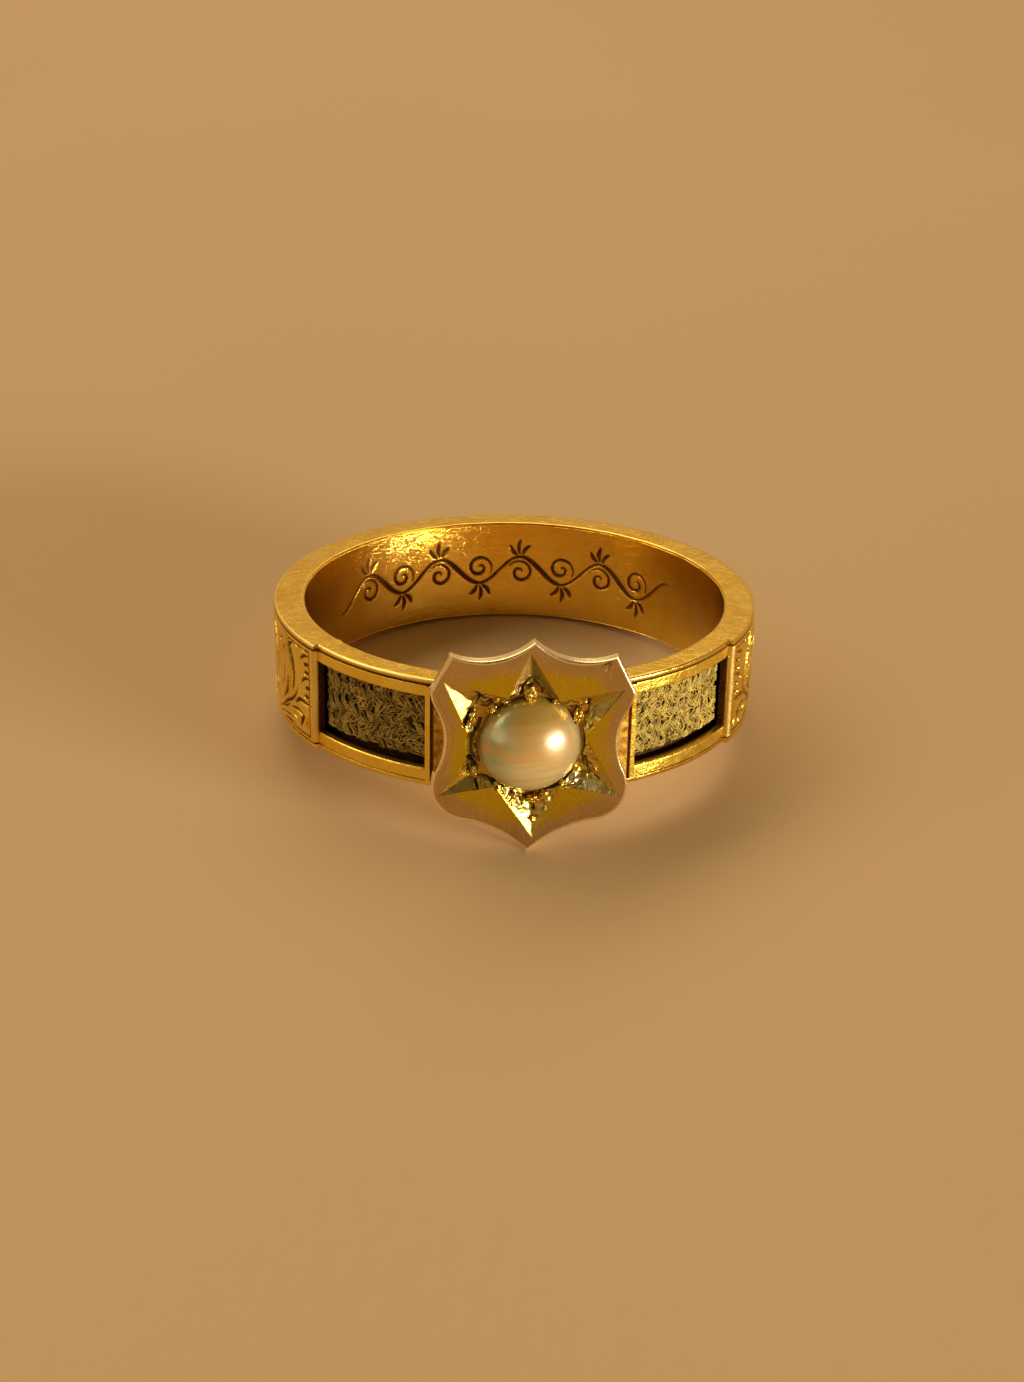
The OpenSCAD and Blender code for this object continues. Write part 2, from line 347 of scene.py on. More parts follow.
def volute(mid, reach, turns, start, half, deep, hand=1, steps=90):
    """A spiral stroke round mid, from its outer end inwards; start is its outer heading in degrees."""
    t = np.linspace(0, 1, steps)
    a = math.radians(start) + hand * 2 * np.pi * turns * t
    r = reach * (1 - t) ** 0.8 + 0.06
    width = half * (0.35 + 0.65 * np.sin(np.pi * np.clip(t * 0.9 + 0.05, 0, 1)))
    return np.column_stack([mid[0] + r * np.cos(a), mid[1] + r * np.sin(a), width, deep * width / half])


# Materials

def socket_in(node, key, value):
    """Sets a node's input to a value, or links it to another node's output."""
    if isinstance(value, bpy.types.NodeSocket):
        node.id_data.links.new(value, node.inputs[key])
    else:
        node.inputs[key].default_value = value


class Shader:
    """A short way to write the nodes of a material or of the world."""

    def __init__(self, owner):
        owner.use_nodes = True
        self.owner = owner
        self.tree = owner.node_tree

    def node(self, kind, inputs=None, output=0, **settings):
        made = self.tree.nodes.new("ShaderNode" + kind)
        for key, value in settings.items():
            setattr(made, key, value)
        for key, value in (inputs or {}).items():
            socket_in(made, key, value)
        return made.outputs[output]

    def attribute(self, name, output="Fac"):
        return self.node("Attribute", attribute_name=name, output=output)

    def ring_place(self):
        """The place on the ring in millimetres, as a vector and as x, y and z."""
        place = self.attribute("ring_mm", "Vector")
        return place, *(self.node("SeparateXYZ", {"Vector": place}, output=i) for i in range(3))

    def math(self, operation, a, b=0.0, c=0.0):
        return self.node("Math", {0: a, 1: b, 2: c}, operation=operation)

    def times(self, a, b):
        return self.math("MULTIPLY", a, b)

    def plus(self, share, a, b):
        """b, and a share of a."""
        return self.math("MULTIPLY_ADD", a, share, b)

    def noise(self, vector, scale, detail=2.0, rough=0.5):
        return self.node("TexNoise", {"Vector": vector, "Scale": scale, "Detail": detail, "Roughness": rough})

    def remap(self, value, low, high, to_low=0.0, to_high=1.0, **settings):
        return self.node("MapRange", {"Value": value, "From Min": low, "From Max": high,
                                      "To Min": to_low, "To Max": to_high}, **settings)

    def mix(self, share, a, b):
        return self.node("Mix", {0: share, 6: a, 7: b}, output=2, data_type="RGBA")

    def stretched(self, vector, scale, turn=(0, 0, 0)):
        """The vector turned by degrees and then scaled by axis."""
        turned = self.node("Mapping", {"Vector": vector, "Rotation": tuple(math.radians(t) for t in turn)})
        return self.node("VectorMath", {0: turned, 1: scale}, operation="MULTIPLY")

    def bump(self, height, distance_mm, normal=None):
        inputs = {"Height": height, "Distance": distance_mm * MM, "Strength": 1.0}
        if normal is not None:
            inputs["Normal"] = normal
        return self.node("Bump", inputs)

    def finish(self, last="Principled BSDF", **inputs):
        """Sets the inputs of the last node, and gives the material or the world."""
        for key, value in inputs.items():
            socket_in(self.tree.nodes[last], key.replace("_", " "), value)
        return self.owner


# Ways of the fine scratches: how the pattern is turned, in degrees, and its scale by axis
SCRATCH_WAYS = [
    ((0, 35, 20), (34, 1.2, 1.2)),
    ((40, -25, 70), (27, 1.0, 1.4)),
    ((80, 60, -35), (41, 1.6, 0.9)),
]


def gold_material(name, base, shade, rough, brush=None, brush_depth=0.0, dents=0.004,
                  stain_and_shade=(0.42, 0.17, 0.02, 1), grime=(0.028, 0.009, 0.001, 1), field_tone=None):
    """Worn gold. brush is the way of the fine lines: "face" round the rims and the bore, "wall" along the
    band, or None. field_tone is the tone where the mesh's field value is 1."""
    s = Shader(bpy.data.materials.new(name))
    place, x, y, z = s.ring_place()
    cloud = s.noise(place, 2.3, 4)
    fine = s.noise(place, 16.0, 3)
    tone = s.mix(s.remap(s.noise(place, 0.55, 3), 0.35, 0.7), base, shade)
    tone = s.mix(s.remap(cloud, 0.5, 0.85, 0.0, 0.5), tone, shade)
    if field_tone:
        field = s.times(s.attribute("field"), s.remap(s.noise(place, 3.5, 4), 0.3, 0.5, 0.75, 1.0))
        tone = s.mix(field, tone, field_tone)
        # Painted highlight: facets and the plate's bevel are brightened towards pale gold.
        tone = s.mix(s.attribute("shine"), tone, (1.0, 0.84, 0.55, 1))
    # Painted highlight: the edge shade brightens rounded edges and ridge lines, and makes them rougher.
    edge = s.attribute("edge")
    tone = s.mix(edge, tone, (1.0, 0.82, 0.36, 1))
    smooth = s.attribute("polish")
    unpolished = s.math("SUBTRACT", 1.0, smooth)
    # Darkening, partly real dirt in cut lines and partly painted shade in recesses, seams, window walls and
    # round the pearl.
    dirt_and_shade = s.times(s.attribute("grime"), s.remap(fine, 0.25, 0.6, 0.65, 1.0))
    tone = s.mix(s.remap(dirt_and_shade, 0.0, 0.5), tone, stain_and_shade)
    tone = s.mix(s.remap(dirt_and_shade, 0.35, 0.95), tone, grime)

    def lines(across, fine_pitch, long_pitch, detail, roughness, share, depth, normal):
        """Bumps of fine lines: close together across them, and slow to change along the band."""
        way = s.node("CombineXYZ", {"X": s.times(across, fine_pitch), "Y": s.times(x, long_pitch),
                                    "Z": s.times(y, long_pitch)})
        return s.bump(s.times(s.noise(way, 1.0, detail, roughness), share), depth, normal)

    normal = s.bump(s.times(s.noise(place, 1.1, 2), unpolished), dents * 3)
    if brush:
        radius = s.math("SQRT", s.math("ADD", s.times(x, x), s.times(y, y)))
        across = radius if brush == "face" else z
        normal = lines(across, 24.0, 0.9, 3, 0.65, unpolished, brush_depth, normal)
    if brush == "face":
        normal = lines(z, 62.0, 1.4, 2, 0.6, smooth, 0.0085, normal)
    scratches = 0.0
    for turn, scale in SCRATCH_WAYS:
        marks = s.remap(s.noise(s.stretched(place, scale, turn), 1.0, 1, 0.4), 0.60, 0.68)
        scratches = s.math("MAXIMUM", scratches, marks)
    normal = s.bump(s.math("SUBTRACT", 1.0, scratches), 0.0011, normal)
    normal = s.bump(s.times(fine, unpolished), dents * 0.14, normal)
    normal = s.bump(s.times(s.noise(place, 8.0, 3, 0.7), s.attribute("worn")), 0.035, normal)
    roughness = s.remap(s.times(cloud, unpolished), 0.0, 0.75, rough * 0.6, rough * 1.35)
    roughness = s.plus(0.45, dirt_and_shade, roughness)
    roughness = s.plus(0.32, edge, roughness)
    roughness = s.plus(0.08, scratches, roughness)
    return s.finish(Base_Color=tone, Roughness=roughness, Normal=normal, Specular_IOR_Level=0.15,
                    Metallic=s.remap(dirt_and_shade, 0.3, 0.9, 1.0, 0.2))


def pearl_material():
    """Nacre: a soft body colour with pink and green zones and a clear skin. Much of the colour is painted
    reflection
    and shade: the darker top, the green and pale bands on the left and the greyer right side.
    """
    s = Shader(bpy.data.materials.new("nacre"))
    place, x, _, z = s.ring_place()
    height = s.plus(0.9, s.noise(place, 0.9, 2), z)
    tone = s.mix(s.remap(height, -0.2, 0.8), (0.64, 0.47, 0.19, 1), (0.68, 0.40, 0.11, 1))
    # Painted shade: the top is darker, in place of the dim room above it.
    tone = s.mix(s.remap(height, 1.4, 2.1), tone, (0.46, 0.28, 0.03, 1))
    # Lighter stripes in the lower part: partly the nacre's banding, partly painted reflection.
    stripes = s.noise(s.stretched(place, (0.5, 0.5, 5.5), (0, 6, 0)), 1.0, 3)
    low = s.remap(z, 0.6, -0.4, 0.15, 0.8)
    tone = s.mix(s.times(s.remap(stripes, 0.42, 0.62), low), tone, (0.72, 0.58, 0.28, 1))
    # Painted reflection: green patches on the left side.
    green = s.times(s.remap(x, -0.5, -1.3), s.remap(s.noise(place, 1.6, 2), 0.4, 0.58, 0.15, 0.95))
    tone = s.mix(green, tone, (0.44, 0.47, 0.22, 1))
    # Painted reflection: pale bands on the left side.
    bands = s.math("COSINE", s.math("MULTIPLY_ADD", z, 5.2, -4.2))
    pale = s.times(s.remap(x, -0.6, -1.3), s.remap(bands, 0.2, 1.0, 0.0, 0.55))
    tone = s.mix(pale, tone, (0.66, 0.66, 0.40, 1))
    # Painted shade: the right side is greyer and darker.
    tone = s.mix(s.remap(x, 0.8, 1.6, 0.0, 0.8), tone, (0.46, 0.38, 0.19, 1))
    normal = s.bump(s.noise(s.stretched(place, (1.5, 1.5, 9.0), (0, 8, 0)), 1.0, 2), 0.006)
    normal = s.bump(s.noise(place, 7.0, 3), 0.004, normal)
    return s.finish(Base_Color=tone, Normal=normal, Roughness=0.24, Metallic=0.3, Coat_Weight=0.8,
                    Coat_Roughness=0.34, Coat_IOR=1.6, Subsurface_Weight=0.15, Subsurface_Scale=1.0,
                    Subsurface_Radius=(0.6 * MM, 0.4 * MM, 0.25 * MM), Thin_Film_Thickness=380,
                    Thin_Film_IOR=1.53)


def hair_material(dark, light):
    """Old brown hair: each strand has its own tone, with a soft gleam. The deep shade darkens the lower
    layers as painted shade.
    """
    s = Shader(bpy.data.materials.new("hair"))
    place = s.attribute("ring_mm", "Vector")
    tone = s.mix(s.remap(s.attribute("strand"), 0.0, 1.3), dark, light)
    tone = s.mix(s.remap(s.noise(place, 9.0, 3), 0.35, 0.75, 0.0, 0.45), tone, dark)
    # Painted shade: the deep shade darkens the hair towards near black.
    tone = s.mix(s.attribute("deep"), tone, (0.022, 0.012, 0.003, 1))
    return s.finish(Base_Color=tone, Normal=s.bump(s.noise(place, 40.0, 2), 0.006), Roughness=0.42,
                    Specular_IOR_Level=0.5, Sheen_Weight=0.06, Sheen_Roughness=0.4)


def floor_material():
    s = Shader(bpy.data.materials.new("pale_floor"))
    place = s.node("TexCoord", output="Object")
    cloud = s.remap(s.noise(place, 14.0, 2), 0.3, 0.7)
    tone = s.mix(cloud, (0.59, 0.395, 0.205, 1), (0.62, 0.415, 0.22, 1))
    return s.finish(Base_Color=tone, Roughness=0.75, Normal=s.bump(s.noise(place, 900.0, 3), 0.008))


RIM_GOLD = gold_material("gold_rims", (0.94, 0.66, 0.12, 1), (0.87, 0.55, 0.06, 1), 0.17,
                         brush="face", brush_depth=0.0018, dents=0.0025)
COVER_GOLD = gold_material("gold_cover", (0.96, 0.73, 0.13, 1), (0.88, 0.58, 0.06, 1), 0.25,
                           brush="wall", brush_depth=0.004, dents=0.005)
PLATE_GOLD = gold_material("gold_plate", (0.62, 0.43, 0.18, 1), (0.55, 0.37, 0.14, 1), 0.22, dents=0.003,
                           stain_and_shade=(0.36, 0.26, 0.05, 1), grime=(0.030, 0.024, 0.004, 1),
                           field_tone=(0.66, 0.47, 0.02, 1))
GRAIN_GOLD = gold_material("gold_grains", (0.84, 0.62, 0.13, 1), (0.70, 0.46, 0.07, 1), 0.24, dents=0.010)
NACRE = pearl_material()
HAIR = hair_material((0.13, 0.078, 0.006, 1), (0.95, 0.69, 0.13, 1))


# Sleeve

INNER_ROUND = 0.12
OUTER_ROUND = 0.10
FLARE = 0.03
FLARE_START = 1.0
FLARE_REACH = 0.25
BORE_ROWS = 92
# Steps of the sleeve's columns in degrees, beside the vine and elsewhere, and what they are rounded to
VINE_STEP = 0.34
PLAIN_STEP = 1.0
STEP_GRID = 0.00001
# Turn in degrees over which the rims rise from the windows to the panels
RIM_RAMP = 0.12
# The bruise of the upper rim: its heading, how far its middle is from the bore, its size, and how far the
# metal goes inwards and up
NICK_ANGLE = -55.7
NICK_MIDDLE = 0.03
NICK_SIZE = 0.12
NICK_IN = 0.05
NICK_UP = 0.03
# The vine on the inner wall: half its turn in degrees, the length of a wave and how far it swings
VINE_HALF_TURN = 58
VINE_WAVE = 3.7
VINE_SWING = 0.62


def vine_strokes():
    """A running vine, for the inner wall: a waved stem, with a curl and three leaves in each half wave."""
    length = math.radians(VINE_HALF_TURN) * FINGER_R
    s = np.linspace(-length, length, 420)
    z = VINE_SWING * np.sin(2 * np.pi * s / VINE_WAVE)
    slope = np.cos(2 * np.pi * s / VINE_WAVE)
    half = 0.055 + 0.06 * np.clip(-slope, 0, 1)
    taper = smooth_step((length - np.abs(s)) / 0.8)
    strokes = [np.column_stack([s, z, half * taper + 0.01, 0.055 * taper])]
    count = int(2 * length / VINE_WAVE * 2)
    for k in range(-(count // 2), count // 2 + 1):
        mid = (k + 0.5) * VINE_WAVE / 2
        up = 1 if k % 2 == 0 else -1
        if abs(mid) > length - 0.5:
            continue
        strokes.append(volute((mid, -0.12 * up), 0.52, 1.35, 90 * up + 60, 0.08, 0.055, -up))
        for turn, reach in ((-38, 0.62), (0, 0.75), (38, 0.62)):
            a = math.radians(90 * up + turn)
            root = (mid + 0.15 * math.cos(a), VINE_SWING * up + 0.10 * math.sin(a))
            bend = (root[0] + 0.5 * reach * math.cos(a + 0.25), root[1] + 0.5 * reach * math.sin(a + 0.25))
            end = (root[0] + reach * math.cos(a), root[1] + reach * math.sin(a))
            strokes.append(swelling([root, bend, end], 0.10, 0.06, 0.55, 8))
    return strokes


def sleeve_section(outer_r, bore_z):
    """The sleeve's closed section as (r, z) points: the bore's wall, the upper rim and the lower rim."""
    rim = rounded([(FINGER_R, BAND_HALF, INNER_ROUND), (outer_r, BAND_HALF, OUTER_ROUND),
                   (outer_r, RIM_HALF, 0.015), (CHANNEL_R, RIM_HALF, 0)])
    rim = np.vstack([rim[:5], np.linspace(rim[4], rim[5], 8)[1:-1], rim[5:]])
    wall = np.column_stack([np.full(len(bore_z), FINGER_R), bore_z])
    return np.vstack([wall, rim, rim[::-1] * [1, -1]])


def sleeve_mesh():
    vine_start, vine_end = 178 - VINE_HALF_TURN, 182 + VINE_HALF_TURN
    ranges = ((0, vine_start, PLAIN_STEP), (vine_start, vine_end, VINE_STEP), (vine_end, 360, PLAIN_STEP))
    edges = [WINDOW_END - RIM_RAMP, WINDOW_END, 360 - WINDOW_END, 360 - WINDOW_END + RIM_RAMP]
    angles = np.concatenate([np.arange(*r) for r in ranges] + [edges])
    angles = np.unique(np.round(angles / STEP_GRID) * STEP_GRID)
    in_window = (angles <= WINDOW_END - RIM_RAMP / 2) | (angles >= 360 - WINDOW_END + RIM_RAMP / 2)
    outer = np.where(in_window, RAIL_R, PANEL_R)
    bore_z = np.linspace(EDGE - BAND_HALF, BAND_HALF - EDGE, BORE_ROWS)[1:-1]
    r, z = np.moveaxis(np.stack([sleeve_section(v, bore_z) for v in outer]), -1, 0).copy()
    count, width = r.shape
    depth = np.zeros((count, len(bore_z)))
    arc = np.radians(180 - angles) * FINGER_R
    for stroke in vine_strokes():
        stamp(depth[::-1], arc[::-1], bore_z, stroke)
    wall = slice(0, len(bore_z))
    r[:, wall] += depth
    polish = np.zeros((count, width))
    polish[:, wall] = 1

    # Darkening: real dirt in the vine's cuts, dirt and painted shade on the channel floor under the hair, and
    # painted shade with dirt in the seam under the upper rim.
    grime = np.zeros((count, width))
    grime[:, wall] = smooth_step(depth / 0.025) * 0.9
    in_channel = (r > FINGER_R + 0.15) & (np.abs(z) < RIM_HALF + 0.001)
    grime[in_channel & (r < CHANNEL_R + 0.02)] = 1.0
    in_seam = (r > CHANNEL_R + 0.02) & (np.abs(z) < RIM_HALF + 0.05)
    grime[in_seam & (z > 0)] = 0.85
    # Painted highlight on the rims' outer and inner rounded edges, stronger on the ring's left side.
    edge = np.zeros((count, width))
    edge[(z > BAND_HALF - 0.07) & (r > outer[:, None] - OUTER_ROUND)] = 1
    edge[(z > BAND_HALF - 0.02) & (r < FINGER_R + INNER_ROUND)] = 0.8
    edge *= (0.15 + 0.45 * smooth_step(-np.sin(np.radians(angles)) + 0.4))[:, None]

    points = ring_points(angles[:, None], r, z).reshape(-1, 3)
    radial = points[:, :2] / np.linalg.norm(points[:, :2], axis=1)[:, None]
    wear = noise(points, 1.4, 11) * 0.004 + noise(points, 0.35, 12) * 0.0015
    points[:, 2] += wear * (np.abs(points[:, 2]) > RIM_HALF + 0.05)
    points[:, :2] += radial * (0.003 * noise(points, 1.8, 13) * polish.ravel())[:, None]
    near_rim = np.clip((np.abs(z.ravel()) - FLARE_START) / (BAND_HALF - FLARE_START), 0, 1)
    near_bore = np.clip(1 - (r.ravel() - FINGER_R) / FLARE_REACH, 0, 1)
    points[:, :2] += radial * (FLARE * near_rim ** 2 * near_bore)[:, None]
    nick = ring_points(NICK_ANGLE, FINGER_R + NICK_MIDDLE, BAND_HALF)
    near = np.exp(-(np.linalg.norm(points - nick, axis=1) / NICK_SIZE) ** 2)
    points[:, :2] -= radial * (near * NICK_IN)[:, None]
    points[:, 2] += near * NICK_UP
    return points, quads(count, width), {"grime": grime, "polish": 0.85 * polish, "edge": edge}


def add_sleeve():
    add_piece("sleeve_gold", sleeve_mesh(), RIM_GOLD, "sleeve")


# Cover

FRONT_STEP = 0.045
BACK_STEP = 0.75
BACK_ROWS_STEP = 0.16
LEAST_STEP = 0.0025
# Rounding of the cover's edges: beside the rims, beside the lower rim in front, at the windows, and at the
# bridge's ends
RIM_ROUND = 0.07
LOWER_ROUND = 0.016
WINDOW_ROUND = 0.085
BRIDGE_ROUND = 0.05
# Width of the steps at the bridge's ends and of the grooves' walls
BRIDGE_RAMP = 0.012
GROOVE_WALL = 0.02
# Knocked stretches of the rails: side, distance of the middle from the bar, half length and strength
KNOCKS = [(1, 0.9, 1.1, 1.0), (-1, 1.6, 1.2, 0.45)]


def slab(angles, rows, outer, inner_r, breaks=None, present=None, **shades):
    """A closed piece of the band's wall between a height field and an inner cylinder.

    breaks are the rows where its openings start and end; present[i, k] says whether the field's column i is
    solid between breaks k and k + 1. A shade is given as its values on the height field and its value on the
    inside."""
    if breaks is None:
        breaks = [0, len(rows) - 1]
        present = np.ones((len(angles) - 1, 1), bool)
    n, m, k_count = len(angles), len(rows), len(breaks)
    skin = ring_points(angles[:, None], outer, rows[None, :]).reshape(-1, 3)
    back = ring_points(angles[:, None], inner_r, rows[breaks][None, :]).reshape(-1, 3)
    points = np.vstack([skin, back])

    def o(i, j):
        return i * m + j

    def b(i, k):
        return n * m + i * k_count + k

    faces = []
    for i, k in np.argwhere(present):
        lo, hi = breaks[k], breaks[k + 1]
        faces += [[o(i, j), o(i + 1, j), o(i + 1, j + 1), o(i, j + 1)] for j in range(lo, hi)]
        faces.append([b(i, k), b(i, k + 1), b(i + 1, k + 1), b(i + 1, k)])
        if k == 0 or not present[i, k - 1]:
            faces.append([o(i, lo), b(i, k), b(i + 1, k), o(i + 1, lo)])
        if k == k_count - 2 or not present[i, k + 1]:
            faces.append([o(i + 1, hi), b(i + 1, k + 1), b(i, k + 1), o(i, hi)])
        if i == 0 or not present[i - 1, k]:
            faces.append([o(i, j) for j in range(lo, hi + 1)] + [b(i, k + 1), b(i, k)])
        if i == n - 2 or not present[i + 1, k]:
            faces.append([o(i + 1, j) for j in range(hi, lo - 1, -1)] + [b(i + 1, k), b(i + 1, k + 1)])
    used = np.unique(np.concatenate([np.array(f) for f in faces]))
    index = np.full(len(points), -1)
    index[used] = np.arange(len(used))
    for key, (on_skin, inside) in shades.items():
        shades[key] = np.concatenate([(on_skin + 0 * outer).ravel(), np.full(len(back), inside)])[used]
    return points[used], [[int(index[v]) for v in f] for f in faces], shades


def edge_drop(distance, radius=RIM_ROUND):
    """How far a rounded edge falls at a distance inside it."""
    t = np.clip(1 - distance / radius, 0, 1)
    return radius * (1 - np.sqrt(1 - t * t))


def near_edges(places, spread=(0.004, 0.012, 0.025, 0.045, RIM_ROUND)):
    """Places with close lines on both sides of each."""
    out = []
    for p in places:
        out += [p, *(p + d for d in spread), *(p - d for d in spread)]
    return out


def lines_between(low, high, step, edges):
    """Grid lines from low to high at about the step, with close lines at the edges."""
    lines = list(np.arange(low, high, step)) + near_edges(edges) + [low, high]
    lines = np.unique(np.round([v for v in lines if low <= v <= high], 6))
    keep = [lines[0]]
    for v in lines[1:]:
        if v - keep[-1] > LEAST_STEP:
            keep.append(v)
    keep[-1] = high
    return np.array(keep)


def seam_shade_and_dirt(z):
    """Darkening at the cover's upper edge, in the seam under the rim: painted shade under the rim's overhang,
    with some dirt.
    """
    return 0.85 * smooth_step((z - COVER_HALF + 0.045) / 0.04)


def front_mesh():
    """The cover from one panel to the other: the bridge, the upright bars and the rails of both windows."""
    half_arc = math.radians(WINDOW_END) * RAIL_R
    start = math.radians(WINDOW_START) * RAIL_R
    bar = start - BAR_W
    groove = bar - BAR_GROOVE_W
    across_marks = [side * v for v in (half_arc, start, bar, groove) for side in (-1, 1)]
    along_marks = [side * v for v in (COVER_HALF, WINDOW_HALF) for side in (-1, 1)]
    arc = lines_between(-half_arc, half_arc, FRONT_STEP, across_marks)
    rows = lines_between(-COVER_HALF, COVER_HALF, FRONT_STEP, along_marks)
    for lines, mark in ((rows, WINDOW_HALF), (arc, start)):
        for v in (-mark, mark):
            lines[np.argmin(np.abs(lines - v))] = v
    breaks = [0, *(int(np.argmin(np.abs(rows - v))) for v in (-WINDOW_HALF, WINDOW_HALF)), len(rows) - 1]
    a, z = np.abs(arc)[:, None], rows[None, :]
    outer = BRIDGE_R + (RAIL_R - BRIDGE_R) * smooth_step((a - start) / BRIDGE_RAMP)
    in_groove = smooth_step((a - groove) / GROOVE_WALL) * smooth_step((bar - a) / GROOVE_WALL)
    outer = outer - BAR_GROOVE_D * in_groove + 0 * z
    outer -= 0.7 * edge_drop(start + BRIDGE_RAMP - a, BRIDGE_ROUND) * (a <= start + BRIDGE_RAMP)
    outer -= edge_drop(COVER_HALF - np.abs(z), np.where(z > 0, RIM_ROUND, LOWER_ROUND))
    beside = np.abs(np.abs(z) - WINDOW_HALF)
    outer -= edge_drop(beside, WINDOW_ROUND) * (a > start) * (np.abs(z) >= WINDOW_HALF - 1e-6)
    angles = np.degrees(arc / RAIL_R)
    skin = ring_points(angles[:, None], outer, z)
    outer += 0.006 * noise(skin, 1.6, 21) + 0.004 * noise(skin, 0.5, 22) + 0.0015 * noise(skin, 0.2, 23)
    knocked = np.zeros((len(arc), 1))
    for side, off, long, strength in KNOCKS:
        knocked += strength * np.exp(-((side * arc - start - off) / long) ** 2)[:, None]
    outer -= knocked * (0.0055 * np.abs(noise(skin, 0.17, 24)) + 0.003 * noise(skin, 0.11, 25))
    solid = np.ones((len(arc) - 1, 3), bool)
    solid[:, 1] = np.abs(arc[:-1] + arc[1:]) / 2 < start
    # Darkening: painted shade with dirt in the bars' grooves and the upper seam, painted shade on the bridge
    # under the plate, and painted shade on the window walls inside.
    shade_on_bridge = 0.5 * smooth_step((groove + 0.05 - a) / 0.08) * (0.8 + 0.2 * noise(skin, 0.4, 26))
    grime = np.maximum(np.maximum(0.75 * in_groove, seam_shade_and_dirt(z)), shade_on_bridge)
    return slab(angles, rows, outer, COVER_IN_R, breaks, solid, grime=(grime, 0.95), worn=(knocked, 0))


PANEL_STEP = 0.034
RIDGE_ROUND = 0.19
RIDGE_RAMP = 0.04
BORDER_SOFT = 0.016
BORDER_DEEPER = 1.5
# Metal that the graver pushes up beside a stroke: its reach in half widths, and its height as a share of the
# depth
LIP_SPREAD = 2.2
LIP_RAISE = 0.4
# Place and half width of the painted highlight, a gleam, along a ridge
GLEAM_S = -0.085
GLEAM_HALF = 0.025

# Strokes of the panels, listed one by one: (distance from the ridge, height) points, widest half width,
# depth, place of the widest point. The two factors below make all of them wider and deeper.
PANEL_STROKES = [
    ([(0.95, 1.28), (0.62, 1.52), (0.10, 1.64)], 0.055, 0.06, 0.4),
    ([(0.62, 1.12), (0.42, 1.22), (0.20, 1.26)], 0.075, 0.07, 0.5),
    ([(0.56, 0.80), (0.40, 0.88), (0.20, 0.90)], 0.075, 0.07, 0.5),
    ([(0.86, 0.28), (0.58, 0.56), (0.06, 0.66)], 0.055, 0.06, 0.4),
    ([(0.52, 0.13), (0.32, 0.24), (0.10, 0.27)], 0.075, 0.07, 0.5),
    ([(0.60, -0.22), (0.42, -0.14), (0.20, -0.13)], 0.080, 0.07, 0.5),
    ([(1.45, -0.78), (0.95, -0.46), (0.02, -0.47)], 0.075, 0.08, 0.55),
    ([(2.05, -1.20), (1.23, -0.97), (0.56, -1.06)], 0.060, 0.06, 0.7),
    ([(0.58, -1.06), (0.80, -1.32), (0.94, -1.66)], 0.095, 0.09, 0.35),
    ([(0.30, -0.95), (0.36, -1.30), (0.30, -1.62)], 0.050, 0.05, 0.4),
    ([(2.10, 1.78), (1.88, 1.42), (1.60, 1.02), (1.50, 0.50), (1.56, 0.0), (1.75, -0.36)], 0.140, 0.11, 0.25),
    ([(1.10, 0.10), (1.32, -0.34), (1.78, -0.76), (2.40, -1.08), (3.10, -1.55), (3.80, -1.86)],
     0.060, 0.06, 0.35),
    ([(2.22, 0.42), (2.16, 0.02), (2.26, -0.40), (2.52, -0.78), (2.90, -1.14)], 0.095, 0.09, 0.35),
    ([(2.62, 0.56), (2.58, 0.10), (2.74, -0.32), (3.05, -0.66)], 0.070, 0.07, 0.35),
    ([(1.86, 0.98), (1.84, 0.50), (1.90, 0.05), (2.04, -0.42), (2.38, -0.86)], 0.050, 0.05, 0.4),
    ([(2.46, 1.30), (2.62, 1.10), (2.60, 0.86)], 0.080, 0.07, 0.4),
    ([(2.84, 1.56), (3.00, 1.40), (3.16, 1.36)], 0.070, 0.07, 0.4),
    ([(1.30, 1.84), (1.18, 1.78), (1.06, 1.84)], 0.050, 0.05, 0.5),
    ([(0.66, 1.84), (0.56, 1.78), (0.46, 1.84)], 0.050, 0.05, 0.5),
    ([(1.60, 1.84), (1.70, 1.70), (1.90, 1.62)], 0.045, 0.05, 0.5),
    ([(3.30, -1.62), (2.50, -1.34), (1.95, -1.02)], 0.045, 0.05, 0.5),
    ([(3.20, -1.78), (2.30, -1.60), (1.30, -1.48)], 0.045, 0.05, 0.5),
    ([(2.60, -1.80), (1.90, -1.72), (1.20, -1.70)], 0.040, 0.05, 0.5),
    ([(1.52, -1.16), (1.40, -1.28), (1.18, -1.36)], 0.060, 0.06, 0.5),
    ([(4.40, 1.70), (3.90, 1.40), (3.55, 0.90), (3.45, 0.30), (3.70, -0.25)], 0.120, 0.10, 0.3),
    ([(4.30, 1.10), (4.00, 0.80), (3.90, 0.35), (4.05, -0.10)], 0.080, 0.08, 0.35),
    ([(3.95, -1.50), (4.50, -1.30), (5.00, -0.95)], 0.080, 0.08, 0.4),
    ([(4.10, -0.95), (4.50, -0.80), (4.80, -0.50)], 0.060, 0.06, 0.4),
    ([(3.60, -0.95), (3.80, -0.72), (4.10, -0.55)], 0.060, 0.06, 0.4),
]
STROKE_WIDER = 1.5
STROKE_DEEPER = 1.4


